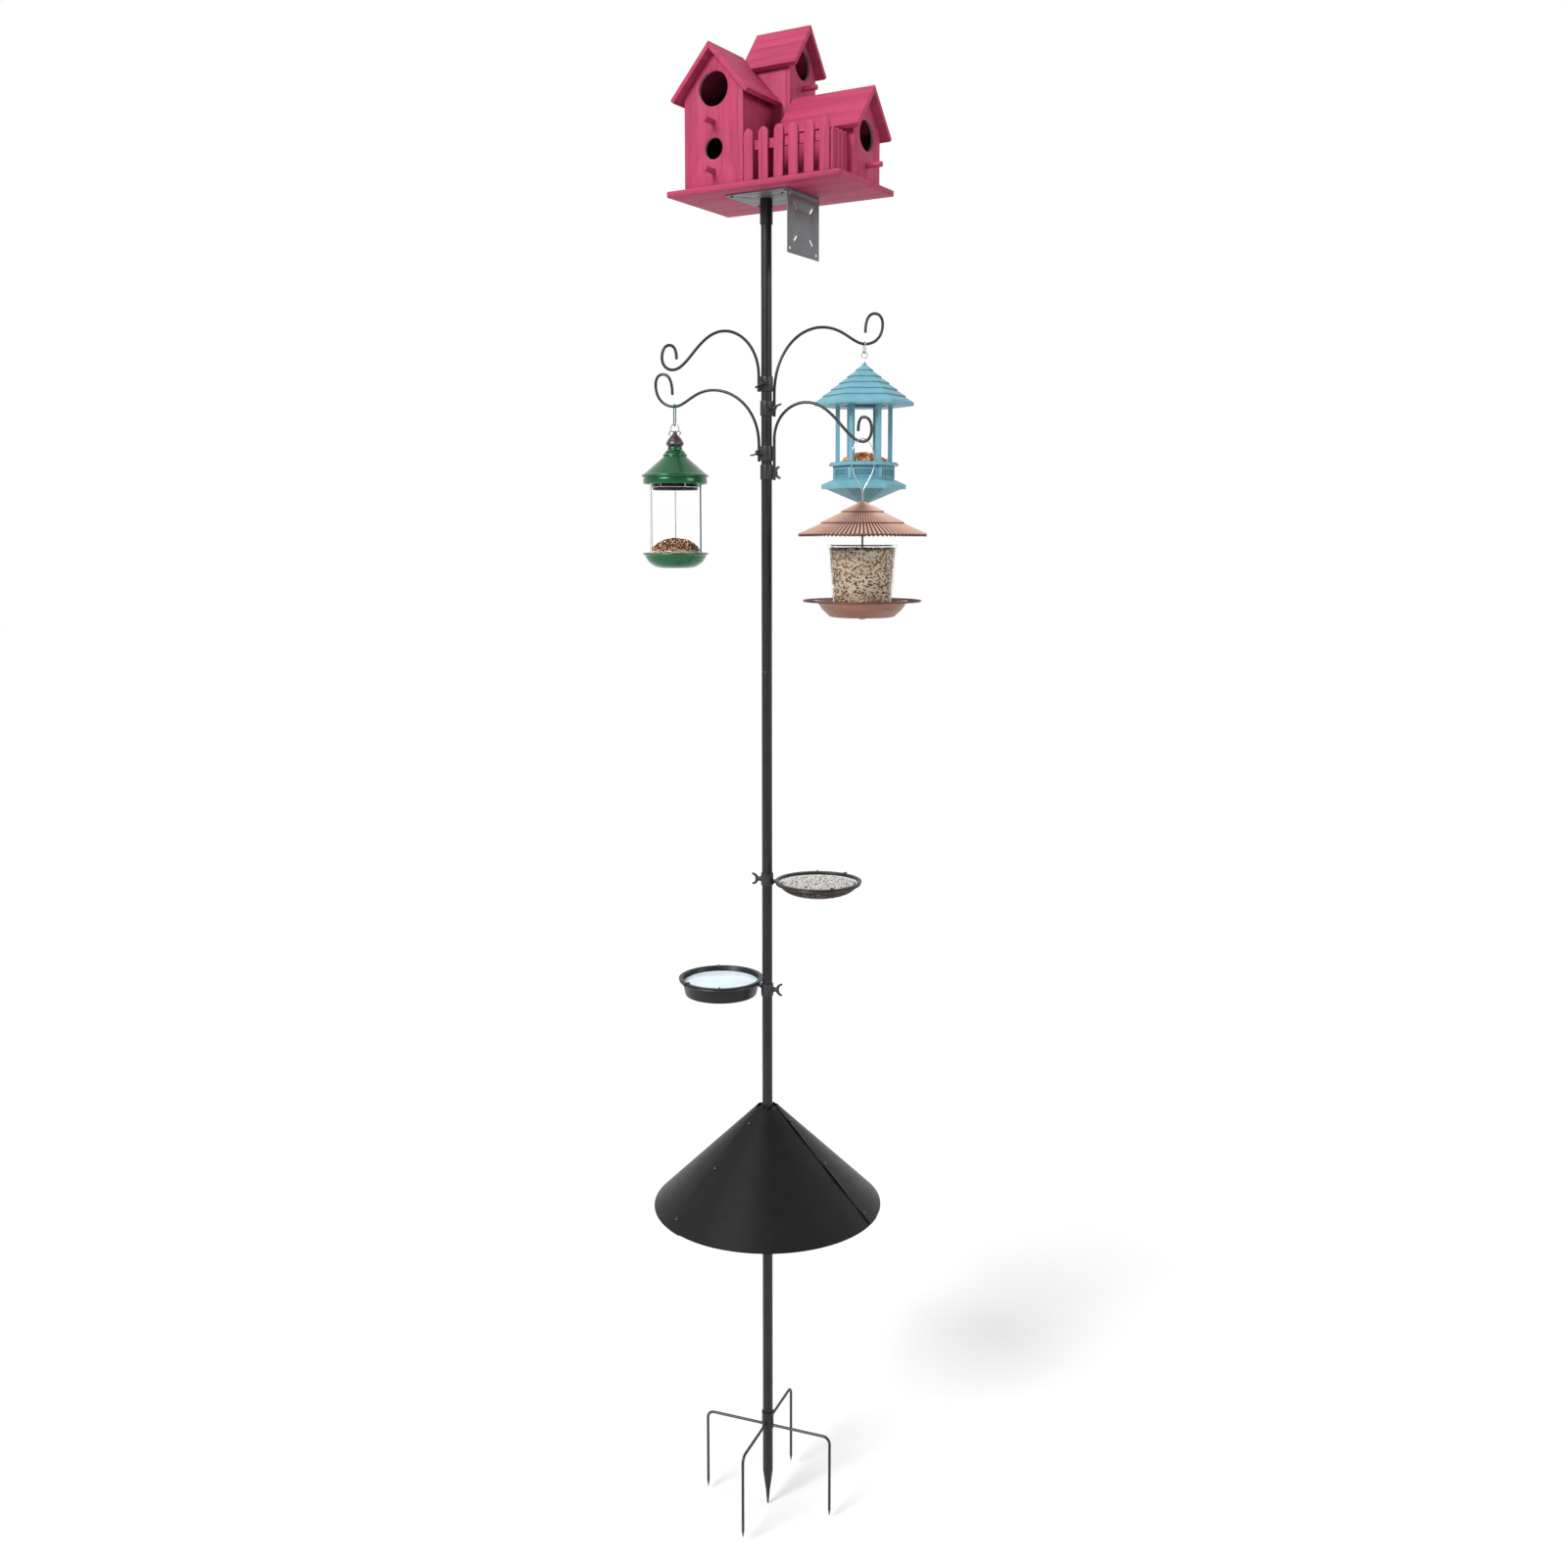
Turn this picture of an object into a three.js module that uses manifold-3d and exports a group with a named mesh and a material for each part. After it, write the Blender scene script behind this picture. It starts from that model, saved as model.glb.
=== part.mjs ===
// A garden bird feeding station: a sectional steel pole on a ground stake, with a squirrel
// baffle, a water dish, a mesh seed tray, four shepherd hooks carrying three hanging
// feeders, and a triple birdhouse on a bracket at the top.
// Millimetres, +Z up. The origin is at ground level on the pole's axis.
import * as THREE from "three";
import { mergeVertices } from "three/addons/utils/BufferGeometryUtils.js";
import Module from "manifold-3d";

const wasm = await Module();
wasm.setup();

// ---------------------------------------------------------------- driving dimensions

const GAP = 0.3; // between pieces that touch
const SLIDE_GAP = 0.35; // radial, between the pole and what turns or slides on it
const WELD = 0.6; // how far welded or glued stretches of one piece run into each other
const ROUND = 16; // sides of a round section
const ROUND_BODY = 24; // sides of a wide round body

// pole
const POLE_R = 11;
const POLE_WALL = 1.3;
const POLE_FOOT_Z = 6;
const LOWER_JOINT_Z = 756;
const UPPER_JOINT_Z = 1668;
const POLE_TOP_Z = 2604;
const SPIGOT_LENGTH = 45;
const SPIGOT_ROOT = 8; // of a spigot, below the joint
const SPIGOT_TAPER = 6; // of the bore under the root

// ground stake and its prongs
const STAKE_TIP_Z = -194;
const STAKE_TAPER_Z = -115;
const STAKE_SOCKET_Z = -16;
const STAKE_TOP_Z = 24;
const STAKE_SOCKET_R = POLE_R + 1.8;
const STAKE_FLARE = 2; // height of the step out to the socket
const STAKE_BORE_Z = -107;
const STAKE_BORE_TIP_Z = -135;
const PRONG_R = 3;
const PRONG_REACH = 144;
const PRONG_LENGTH = 180;
const PRONG_BEND_R = 15;
const PRONG_POINT = 14;
const PRONG_AZIMUTH = -21;
const PRONG_SPACING = 7.2; // between the two crossing wires

// squirrel baffle
const BAFFLE_RIM_Z = 505;
const BAFFLE_RIM_R = 244;
const BAFFLE_TOP_Z = 717;
const BAFFLE_TOP_R = 25;
const BAFFLE_SHEET = 1;
const BAFFLE_PANELS = 3;
const BAFFLE_FACET = 10; // degrees, a whole number of them in each panel
const BAFFLE_OVERLAP = BAFFLE_FACET;
const BAFFLE_SEAM = -28; // azimuth of the right-hand panel's lapping edge
const BAFFLE_FLANGE = 20; // width of the collar's cone under the panels
const BAFFLE_FLANGE_THICK = 2.5;
const BAFFLE_COLLAR_DROP = 52;
const BAFFLE_SCREW_UP = 10; // of the thumb screw, above the collar's foot

// collars and wing screws
const COLLAR_R = POLE_R + 2.2;
const COLLAR_SINK = 1.5; // how far bosses and beads run into a collar's wall
const BOSS_R = 5.4;
const BOSS_OUT = COLLAR_R + 3.3;
const SCREW_R = 2.5;
const SCREW_HEAD_R = 4.6;
const SCREW_HEAD_LENGTH = 7;
const WING_SPREAD = 14;
const WING_OUT = 12;
const WING_THICK = 2.4;
const WING_LEAN = 80; // degrees from level, of the dishes' screws

// water dish and mesh tray, each in a ring bracket
const RING_WIRE_R = 2.5;
const LIP_R = 91;
const DISH_AXIS = LIP_R + COLLAR_R + 5.8; // from the pole's axis to the dish's
const RING_R = LIP_R - 3.5;
const LIP_THICK = 2.5;
const BRACKET_COLLAR = 26;
const BRACKET_STUB = 10; // width of the strap between collar and ring
const BRACKET_STUB_THICK = 3.6;
const DISH_RIM_Z = 992;
const DISH_DEPTH = 37;
const DISH_FLOOR_R = RING_R - 10.5;
const DISH_WALL = 2;
const DISH_AZIMUTH = 156;
const DISH_SCREW_AZIMUTH = -8;
const DISH_COLLAR_DROP = 14; // of the collar's middle below the rim
const TRAY_RIM_Z = 1220;
const TRAY_DEPTH = 32;
const TRAY_WALL = 1.6;
const TRAY_FLOOR_R = 40;
const TRAY_CROWN = 9; // of the tray's bulge, half way out
const TRAY_AZIMUTH = -12;
const TRAY_SCREW_AZIMUTH = 172;
const TRAY_COLLAR_DROP = 2;

// shepherd hooks: reaches are from the pole's axis, rises from the saddle's wire centre
const HOOK_WIRE_R = 3;
const HOOK_COLLAR = 30;
const HOOK_BEAD = 5; // width of the weld between collar and wire
const HOOKS = {
  hook_upper_left: {
    azimuth: 200, screw: 40, collarZ: 2246, leaveZ: 2262, apexReach: 86, saddleReach: 199, saddleZ: 2267,
    apexRise: 81, curlReach: 21, curlRise: 23, topReach: 5, topRise: 48, tipReach: -9, tipRise: 22,
    lean: 50,
  },
  hook_upper_right: {
    azimuth: 20, screw: -60, collarZ: 2197, leaveZ: 2226, apexReach: 126, saddleReach: 216, saddleZ: 2335,
    apexRise: 30, curlReach: 41, curlRise: 42, topReach: 24, topRise: 63, tipReach: 2, tipRise: 24,
    lean: 40,
  },
  hook_lower_left: {
    azimuth: 160, screw: 50, collarZ: 2106, leaveZ: 2124, apexReach: 120, saddleReach: 205, saddleZ: 2206.5,
    apexRise: 31, curlReach: 43, curlRise: 46, topReach: 27, topRise: 67, tipReach: 5, tipRise: 25,
    lean: 20,
  },
  hook_lower_right: {
    azimuth: -20, screw: 52, collarZ: 2068, leaveZ: 2134, apexReach: 84, saddleReach: 206, saddleZ: 2126,
    apexRise: 81, curlReach: 18, curlRise: 24, topReach: 1, topRise: 48.5, tipReach: -10, tipRise: 22,
    lean: 80,
  },
};

// links and rings that the feeders hang by
const LINK_WIRE = 2.4;
const LINK_CLEAR = 0.6; // each side of the hook's wire
const RING_CLEAR = 0.3;

// green lantern feeder, heights below the hook's saddle
const GREEN_TUBE_R = 54;
const GREEN = {
  linkLength: 38, ringR: 9, ringWire: 1.1, bossR: 4, finialTop: 50, finialR: 18, finialBase: 83.5,
  neckR: 15.5, neckBase: 90, flareR: 24, flareBase: 103, lipR: GREEN_TUBE_R + 15.5, lipDepth: 143,
  lipThick: 4, bandR: GREEN_TUBE_R + 11.5, bandBase: 160.5, shell: 2, tubeR: GREEN_TUBE_R, tubeWall: 1.6,
  tubeTop: 152, rodR: 1.5, rodOut: GREEN_TUBE_R + 3.4, ringPlate: 3, trayRim: 303.5,
  trayR: GREEN_TUBE_R + 14.5, trayDepth: 32.5, trayFloorR: GREEN_TUBE_R - 14, trayWall: 2,
  trayFoot: 5, wireR: 1, seat: 12, rodSeat: 9,
};

// blue six-sided gazebo feeder, heights below the hook's saddle; radii are to the corners
const BLUE = {
  linkLength: 18, eyeR: 6.5, eyeWire: 1.2, shankR: 1.5, shankLength: 18, apex: 40, roofR: 104,
  eave: 120, fascia: 7, crown: 14, tiers: 6, lap: 2.4, roofWall: 8, soffit: 5, soffitBore: 48, postR: 59.4,
  post: 9, railTop: 243.5, railDepth: 8.5, railR: 69.6, railInnerR: 49.5,
  bandR: 63.5, bandBase: 279, bandWall: 6,
  skirtR: 89, skirtTop: 290, skirtBase: 299, tip: 332.6,
};

// copper feeder with a clear hopper, heights below the hook's saddle
const COPPER = {
  bailWire: 1, bailHalf: 24, bailWidest: 42, bailVertex: 100.5, bailTurn: 35, apex: 118.5,
  apexBore: 3.4, tierR: [43, 84, 129], tierZ: [139, 161.5, 184], tierLap: 2.4, rim: 3.5, sheet: 2.2,
  rodR: 2, stopR: 8, stopThick: 2, knobR: 8, knobZ: 240, hopperTop: 205, hopperTopR: 70.4,
  hopperBase: 344, hopperBaseR: 57, hopperWall: 2, portWidth: 26, portHeight: 9, ports: 4,
  trayLip: 317, trayR: 92, trayBase: 351, trayFloorR: 66, trayWall: 2.4, perchR: 118, perchWire: 2.4,
  perchArms: 4, nutR: 7, nutThick: 4, hub: 6,
};

// top socket, bracket and house; u runs along the front, v goes back from it, w is up
const SOCKET_Z = POLE_TOP_Z - 42;
const SOCKET_OVER = 8; // of the socket's closed end above the pole
const SOCKET_WALL = 1.6;
const PLATE = 2.5;
const PLATE_U = 146;
const PLATE_V = 124;
const PLATE_DROP = 124;
const PLATE_SHIFT = 14; // of the plate's middle from the pole, along u
const PLATE_HOLE_R = 2.6;
const PLATE_HOLE_INSET = 10;
const SLOT_LENGTH = 17;
const SLOT_WIDTH = 5;
const SLOT_INSET = 31;
const HOUSE_TURN = -31;
const BOARD_U = 396;
const BOARD_V = 226;
const BOARD_THICK = 12;
const BOARD_SHIFT_U = 24; // of the board's middle from the pole
const BOARD_SHIFT_V = 14;
const WALL = 8;
const ROOF_BOARD = 9;
const DOWEL_R = 5.5;
const DOWEL_OUT = 34;
const DOWEL_IN = 6.5;
const DOWEL_SIDES = 10;
const DOOR_SIDES = 20;
const TALL = {
  u0: 40, u1: 178, v0: 6, v1: 116, ridge: 272, slope: 48, halfSpan: 91, overhang: 18,
  holes: [{ w: 186, r: 34 }, { w: 72, r: 21 }], perches: [122, 28],
};
const TOWER = {
  u0: 122, u1: 217, v0: 118.5, v1: 222, ridge: 330, slope: 53, halfSpan: 65, overhang: 19,
  backhang: 14, holes: [{ w: 256, r: 31 }], perches: [208],
};
const SMALL = {
  u0: 219, u1: 388, v0: 72, v1: 180, ridge: 179, slope: 50, halfSpan: 73, overhang: 17,
  backhang: 0, holes: [{ w: 86, r: 30 }], perches: [29],
};
const FENCE = {
  v: 4, uEnd: 376, picket: 21, pickets: 6, pitch: 34, thick: 6, height: 101, point: 10, railW: 58,
  railHeight: 18, sidePicket: 13.5, sidePitch: 15.5, sidePickets: 4, sideHeight: 84,
};

// ---------------------------------------------------------------- materials

function finish(color, roughness, metalness) {
  return new THREE.MeshStandardMaterial({ color, roughness, metalness });
}
const poleBlack = finish(0x36373a, 0.5, 0.6);
const wireBlack = finish(0x2f3033, 0.45, 0.6);
const baffleBlack = finish(0x28282b, 0.5, 0.5);
const plateGrey = finish(0x6a6b6e, 0.5, 0.7);
const pinkWood = finish(0xc63f6b, 0.7, 0);
const greenMetal = finish(0x1d6b3d, 0.3, 0.8);
const finialMetal = finish(0x4c4748, 0.35, 0.8);
const blueWood = finish(0x6fb0c2, 0.6, 0);
const copperPaint = finish(0xb98d76, 0.45, 0.5);
const brightWire = finish(0xb9bcbe, 0.3, 0.9);
const clearPlastic = new THREE.MeshStandardMaterial({
  color: 0xe8eef0, roughness: 0.1, metalness: 0, transparent: true, opacity: 0.35,
});
const dishPlastic = finish(0x2c3a36, 0.4, 0);

// ---------------------------------------------------------------- solids and booleans

const radians = THREE.MathUtils.degToRad;

// A manifold-3d solid of a closed three.js geometry, its faces turned outwards.
function solidOf(geometry) {
  const bare = geometry.clone();
  for (const name of Object.keys(bare.attributes)) {
    if (name !== "position") bare.deleteAttribute(name);
  }
  const merged = mergeVertices(bare, 1e-4);
  const at = merged.attributes.position;
  const triangles = [];
  let sixVolumes = 0;
  const corner = [new THREE.Vector3(), new THREE.Vector3(), new THREE.Vector3()];
  for (let i = 0; i < merged.index.count; i += 3) {
    const [a, b, c] = [0, 1, 2].map((k) => merged.index.getX(i + k));
    if (a === b || b === c || c === a) continue;
    [a, b, c].forEach((index, k) => corner[k].fromBufferAttribute(at, index));
    sixVolumes += corner[0].dot(corner[1].clone().cross(corner[2]));
    triangles.push([a, b, c]);
  }
  const triVerts = new Uint32Array(
    triangles.flatMap(([a, b, c]) => (sixVolumes < 0 ? [a, c, b] : [a, b, c])),
  );
  return new wasm.Manifold(new wasm.Mesh({ numProp: 3, vertProperties: at.array, triVerts }));
}

function geometryOf(solid) {
  const mesh = solid.getMesh();
  const corners = new Float32Array(mesh.triVerts.length * 3);
  mesh.triVerts.forEach((vertex, i) => {
    for (let k = 0; k < 3; k += 1) {
      corners[i * 3 + k] = mesh.vertProperties[vertex * mesh.numProp + k];
    }
  });
  const geometry = new THREE.BufferGeometry();
  geometry.setAttribute("position", new THREE.BufferAttribute(corners, 3));
  geometry.computeVertexNormals();
  return geometry;
}

function join(...geometries) {
  return geometryOf(geometries.map(solidOf).reduce((whole, next) => whole.add(next)));
}

function cut(geometry, ...tools) {
  return geometryOf(tools.map(solidOf).reduce((left, tool) => left.subtract(tool), solidOf(geometry)));
}

const station = new THREE.Group();

function add(parent, name, geometry, material) {
  const mesh = new THREE.Mesh(geometryOf(solidOf(geometry)), material);
  mesh.name = name;
  parent.add(mesh);
  return mesh;
}

function groupAt(parent, { x = 0, y = 0, z = 0, turn = 0 } = {}) {
  const group = new THREE.Group();
  group.position.set(x, y, z);
  group.rotation.z = radians(turn);
  parent.add(group);
  return group;
}

// ---------------------------------------------------------------- basic shapes

// A body turned about Z from a profile of [radius, height] points.
function turned(profile, sides = ROUND) {
  const points = profile.map(([r, z]) => new THREE.Vector2(r, z));
  return new THREE.LatheGeometry(points, sides).rotateX(Math.PI / 2);
}

// A ring of any section: the profile closes on itself, off the axis.
function turnedRing(profile, sides = ROUND) {
  return turned([...profile, profile[0]], sides);
}

function sleeve(outer, inner, z0, z1, sides = ROUND) {
  return turnedRing([[inner, z0], [outer, z0], [outer, z1], [inner, z1]], sides);
}

// A six-sided body with two of its corners on the X axis.
function hexagonal(profile) {
  return turned(profile, 6).rotateZ(Math.PI / 2);
}

function hexagonalRing(profile) {
  return hexagonal([...profile, profile[0]]);
}

function rodZ(radius, z0, z1, sides = 8) {
  return new THREE.CylinderGeometry(radius, radius, z1 - z0, sides)
    .rotateX(Math.PI / 2)
    .translate(0, 0, (z0 + z1) / 2);
}

function rodX(radius, x0, x1, sides = 8) {
  return rodZ(radius, x0, x1, sides).rotateY(Math.PI / 2);
}

function rodY(radius, y0, y1, sides = 8) {
  return rodZ(radius, y0, y1, sides).rotateX(-Math.PI / 2);
}

function block(x0, x1, y0, y1, z0, z1) {
  return new THREE.BoxGeometry(x1 - x0, y1 - y0, z1 - z0)
    .translate((x0 + x1) / 2, (y0 + y1) / 2, (z0 + z1) / 2);
}

function outline(points) {
  return new THREE.Shape(points.map(([x, y]) => new THREE.Vector2(x, y)));
}

function extruded(shape, depth, curveSegments = 6) {
  return new THREE.ExtrudeGeometry(shape, { depth, bevelEnabled: false, curveSegments });
}

// An outline drawn in u (or v) and w, extruded along Y from y0 to y1.
function alongY(points, y0, y1) {
  return extruded(outline(points), y1 - y0).rotateX(Math.PI / 2).translate(0, y1, 0);
}

// The same outline, drawn in v and w, extruded along X from x0 to x1.
function alongX(points, x0, x1) {
  return alongY(points, -x1, -x0).rotateZ(Math.PI / 2);
}

// A path through given points, the section square to it at each of them.
class PointPath extends THREE.Curve {
  constructor(points) {
    super();
    this.points = points;
  }

  getSpacedPoints() {
    return this.points;
  }

  getTangentAt(u, target = new THREE.Vector3()) {
    const last = this.points.length - 1;
    const i = Math.round(u * last);
    const here = this.points[i];
    const arriving = here.clone().sub(this.points[Math.max(i - 1, 0)]).normalize();
    const leaving = this.points[Math.min(i + 1, last)].clone().sub(here).normalize();
    return target.copy(arriving).add(leaving).normalize();
  }
}

function wire(points, radius, sides = 8) {
  const section = [];
  for (let i = 0; i < sides; i += 1) {
    const angle = (2 * Math.PI * (i + 0.5)) / sides;
    section.push([radius * Math.cos(angle), radius * Math.sin(angle)]);
  }
  return new THREE.ExtrudeGeometry(outline(section), {
    steps: points.length - 1, extrudePath: new PointPath(points), bevelEnabled: false,
  });
}

function inPlaneXZ([x, z]) {
  return new THREE.Vector3(x, 0, z);
}

// A run of Bezier curves, each given as its corner points in the XZ plane.
function bezierRun(pieces, divisions) {
  const points = [];
  for (const corners of pieces) {
    const curve = new THREE.CubicBezierCurve3(...corners.map(inPlaneXZ));
    const next = curve.getPoints(divisions);
    points.push(...(points.length ? next.slice(1) : next));
  }
  return points;
}

function torusXZ(radius, tube, z, sides = 6, around = 14) {
  return new THREE.TorusGeometry(radius, tube, sides, around).rotateX(Math.PI / 2).translate(0, 0, z);
}

// ---------------------------------------------------------------- pole and ground stake

const poleBore = POLE_R - POLE_WALL;
const spigotR = poleBore - SLIDE_GAP;
const collarBore = POLE_R + SLIDE_GAP;

function poleSection(z0, z1, spigot) {
  const inside = spigotR - POLE_WALL;
  const profile = spigot
    ? [
        [poleBore, z0], [POLE_R, z0], [POLE_R, z1], [spigotR, z1], [spigotR, z1 + spigot],
        [inside, z1 + spigot], [inside, z1 - SPIGOT_ROOT], [poleBore, z1 - SPIGOT_ROOT - SPIGOT_TAPER],
      ]
    : [[poleBore, z0], [POLE_R, z0], [POLE_R, z1], [poleBore, z1]];
  return turnedRing(profile);
}

function makePole() {
  add(station, "pole_lower", poleSection(POLE_FOOT_Z, LOWER_JOINT_Z, SPIGOT_LENGTH), poleBlack);
  add(station, "pole_middle", poleSection(LOWER_JOINT_Z + GAP, UPPER_JOINT_Z, SPIGOT_LENGTH), poleBlack);
  add(station, "pole_upper", poleSection(UPPER_JOINT_Z + GAP, POLE_TOP_Z, 0), poleBlack);
}

const sideWireZ = -PRONG_SPACING;

function makeStake() {
  const shoulder = POLE_FOOT_Z - GAP;
  const body = turned([
    [0, STAKE_TIP_Z], [POLE_R, STAKE_TAPER_Z], [POLE_R, STAKE_SOCKET_Z],
    [STAKE_SOCKET_R, STAKE_SOCKET_Z + STAKE_FLARE], [STAKE_SOCKET_R, STAKE_TOP_Z],
    [collarBore, STAKE_TOP_Z], [collarBore, shoulder], [poleBore, shoulder],
    [poleBore, STAKE_BORE_Z], [0, STAKE_BORE_TIP_Z],
  ]);
  const reach = STAKE_SOCKET_R + 1;
  const holes = [[0, sideWireZ], [90, 0]].map(([turn, z]) =>
    rodX(PRONG_R + GAP, -reach, reach, 10)
      .rotateZ(radians(PRONG_AZIMUTH + turn))
      .translate(0, 0, z),
  );
  add(station, "ground_stake", cut(body, ...holes), poleBlack);
}

function prongWire() {
  const bend = (side) => {
    const points = [];
    for (let i = 0; i <= 4; i += 1) {
      const angle = (Math.PI / 8) * i;
      points.push([
        side * (PRONG_REACH - PRONG_BEND_R * (1 - Math.sin(angle))),
        -PRONG_BEND_R * (1 - Math.cos(angle)),
      ]);
    }
    return points;
  };
  const down = -PRONG_LENGTH + PRONG_POINT;
  const points = [[-PRONG_REACH, down], ...bend(-1).reverse(), ...bend(1), [PRONG_REACH, down]];
  const point = (side) =>
    new THREE.ConeGeometry(PRONG_R, PRONG_POINT + WELD, 8)
      .rotateX(-Math.PI / 2)
      .rotateZ(radians(22.5))
      .translate(side * PRONG_REACH, 0, down + WELD - (PRONG_POINT + WELD) / 2);
  return join(wire(points.map(inPlaneXZ), PRONG_R), point(-1), point(1));
}

function makeProngs() {
  const side = groupAt(station, { z: sideWireZ, turn: PRONG_AZIMUTH });
  add(side, "prong_wire_side", prongWire(), wireBlack);
  const front = groupAt(station, { turn: PRONG_AZIMUTH + 90 });
  add(front, "prong_wire_front", prongWire(), wireBlack);
}

// ---------------------------------------------------------------- collars and wing screws

// A clamp collar round the pole, with a boss on +X for its screw.
function collarWithBoss(height, azimuth) {
  const boss = rodX(BOSS_R, COLLAR_R - COLLAR_SINK, BOSS_OUT, 10).rotateZ(radians(azimuth));
  return join(sleeve(COLLAR_R, collarBore - 1, -height / 2, height / 2), boss);
}

function borePoleAndScrew(geometry, height, azimuth) {
  const bore = rodZ(collarBore, -height, height, ROUND);
  const hole = rodX(SCREW_R + GAP, POLE_R - 2, BOSS_OUT + 1, 8).rotateZ(radians(azimuth));
  return cut(geometry, bore, hole);
}

function wingScrew() {
  const seat = BOSS_OUT + GAP;
  const shank = rodX(SCREW_R, POLE_R + GAP, seat + 2, 8);
  const head = rodX(SCREW_HEAD_R, seat, seat + SCREW_HEAD_LENGTH, 10);
  const ears = [-1, 1].map((side) => {
    const x = seat + SCREW_HEAD_LENGTH;
    const ear = outline([
      [x - 5, 0], [x - 6, side * 4], [x - 1, side * WING_SPREAD * 0.75],
      [x + WING_OUT * 0.45, side * WING_SPREAD], [x + WING_OUT - 5, side * WING_SPREAD],
      [x + WING_OUT - 4, side * WING_SPREAD * 0.7], [x, 0],
    ]);
    return extruded(ear, WING_THICK).translate(0, 0, -WING_THICK / 2);
  });
  return join(shank, head, ...ears);
}

function addScrew(parent, name, azimuth, lean) {
  const group = groupAt(parent, { turn: azimuth });
  add(group, name, wingScrew().rotateX(radians(lean)), wireBlack);
}

// ---------------------------------------------------------------- squirrel baffle

// A closed sheet between two surfaces, each a function of two shares from 0 to 1.
function sheetBetween(outer, inner, columns, rows) {
  const points = [];
  for (const surface of [outer, inner]) {
    for (let i = 0; i <= columns; i += 1) {
      for (let j = 0; j <= rows; j += 1) points.push(...surface(i / columns, j / rows));
    }
  }
  const layer = (columns + 1) * (rows + 1);
  const at = (face, i, j) => face * layer + i * (rows + 1) + j;
  const index = [];
  const quad = (a, b, c, d) => index.push(a, b, c, a, c, d);
  for (let i = 0; i < columns; i += 1) {
    for (let j = 0; j < rows; j += 1) {
      quad(at(0, i, j), at(0, i + 1, j), at(0, i + 1, j + 1), at(0, i, j + 1));
      quad(at(1, i, j), at(1, i, j + 1), at(1, i + 1, j + 1), at(1, i + 1, j));
    }
    quad(at(0, i, 0), at(1, i, 0), at(1, i + 1, 0), at(0, i + 1, 0));
    quad(at(0, i, rows), at(0, i + 1, rows), at(1, i + 1, rows), at(1, i, rows));
  }
  for (let j = 0; j < rows; j += 1) {
    quad(at(0, 0, j), at(0, 0, j + 1), at(1, 0, j + 1), at(1, 0, j));
    quad(at(0, columns, j), at(1, columns, j), at(1, columns, j + 1), at(0, columns, j + 1));
  }
  const geometry = new THREE.BufferGeometry();
  geometry.setAttribute("position", new THREE.Float32BufferAttribute(points, 3));
  geometry.setIndex(index);
  return geometry;
}

// A third of the cone. It winds inwards by a sheet's thickness from its first edge to its
// last, so that its first edge lies on the last edge of the panel before it.
function bafflePanel() {
  const pitch = 360 / BAFFLE_PANELS;
  const width = pitch + BAFFLE_OVERLAP;
  const lift = BAFFLE_SHEET + GAP;
  const surface = (thickness) => (share, down) => {
    const turn = share * width;
    const angle = radians(turn);
    const r = BAFFLE_TOP_R + (BAFFLE_RIM_R - BAFFLE_TOP_R) * down;
    const z = BAFFLE_TOP_Z + (BAFFLE_RIM_Z - BAFFLE_TOP_Z) * down;
    const up = thickness + (lift * (width - turn)) / pitch;
    return [r * Math.cos(angle), r * Math.sin(angle), z + up * Math.SQRT2];
  };
  return sheetBetween(surface(BAFFLE_SHEET), surface(0), width / BAFFLE_FACET, 1);
}

function makeBaffle() {
  const pitch = 360 / BAFFLE_PANELS;
  ["baffle_panel_front", "baffle_panel_right", "baffle_panel_left"].forEach((name, i) => {
    const turn = BAFFLE_SEAM + (i - 1) * pitch;
    add(groupAt(station, { turn }), name, bafflePanel(), baffleBlack);
  });
  const fall = (BAFFLE_TOP_Z - BAFFLE_RIM_Z) / (BAFFLE_RIM_R - BAFFLE_TOP_R);
  const underside = (r) => BAFFLE_TOP_Z - (r - BAFFLE_TOP_R) * fall - GAP * 2;
  const wide = BAFFLE_TOP_R + BAFFLE_FLANGE;
  const low = BAFFLE_TOP_Z - BAFFLE_COLLAR_DROP;
  const top = underside(BAFFLE_TOP_R);
  const collar = turnedRing([
    [collarBore, low], [COLLAR_R, low], [COLLAR_R, top - BAFFLE_FLANGE_THICK],
    [BAFFLE_TOP_R, top - BAFFLE_FLANGE_THICK], [wide, underside(wide) - BAFFLE_FLANGE_THICK],
    [wide, underside(wide)], [BAFFLE_TOP_R, top], [collarBore, top],
  ]);
  const screwZ = low + BAFFLE_SCREW_UP;
  const boss = rodX(BOSS_R, COLLAR_R - COLLAR_SINK, BOSS_OUT, 10).translate(0, 0, screwZ);
  const hole = rodX(SCREW_R + GAP, POLE_R - 2, BOSS_OUT + 1, 8).translate(0, 0, screwZ);
  add(station, "baffle_collar", cut(join(collar, boss), hole), baffleBlack);
  addScrew(groupAt(station, { z: screwZ }), "baffle_thumb_screw", 0, 0);
}

// ---------------------------------------------------------------- dishes in ring brackets

function ringBracket(screwTurn, ringZ) {
  const ring = new THREE.TorusGeometry(RING_R, RING_WIRE_R, 5, 24).translate(DISH_AXIS, 0, ringZ);
  const [wide, thick] = [BRACKET_STUB / 2, BRACKET_STUB_THICK / 2];
  const stub = block(
    COLLAR_R - COLLAR_SINK, DISH_AXIS - RING_R + WELD, -wide, wide, ringZ - thick, ringZ + thick,
  );
  const whole = join(collarWithBoss(BRACKET_COLLAR, screwTurn), ring, stub);
  return borePoleAndScrew(whole, BRACKET_COLLAR, screwTurn);
}

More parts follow.
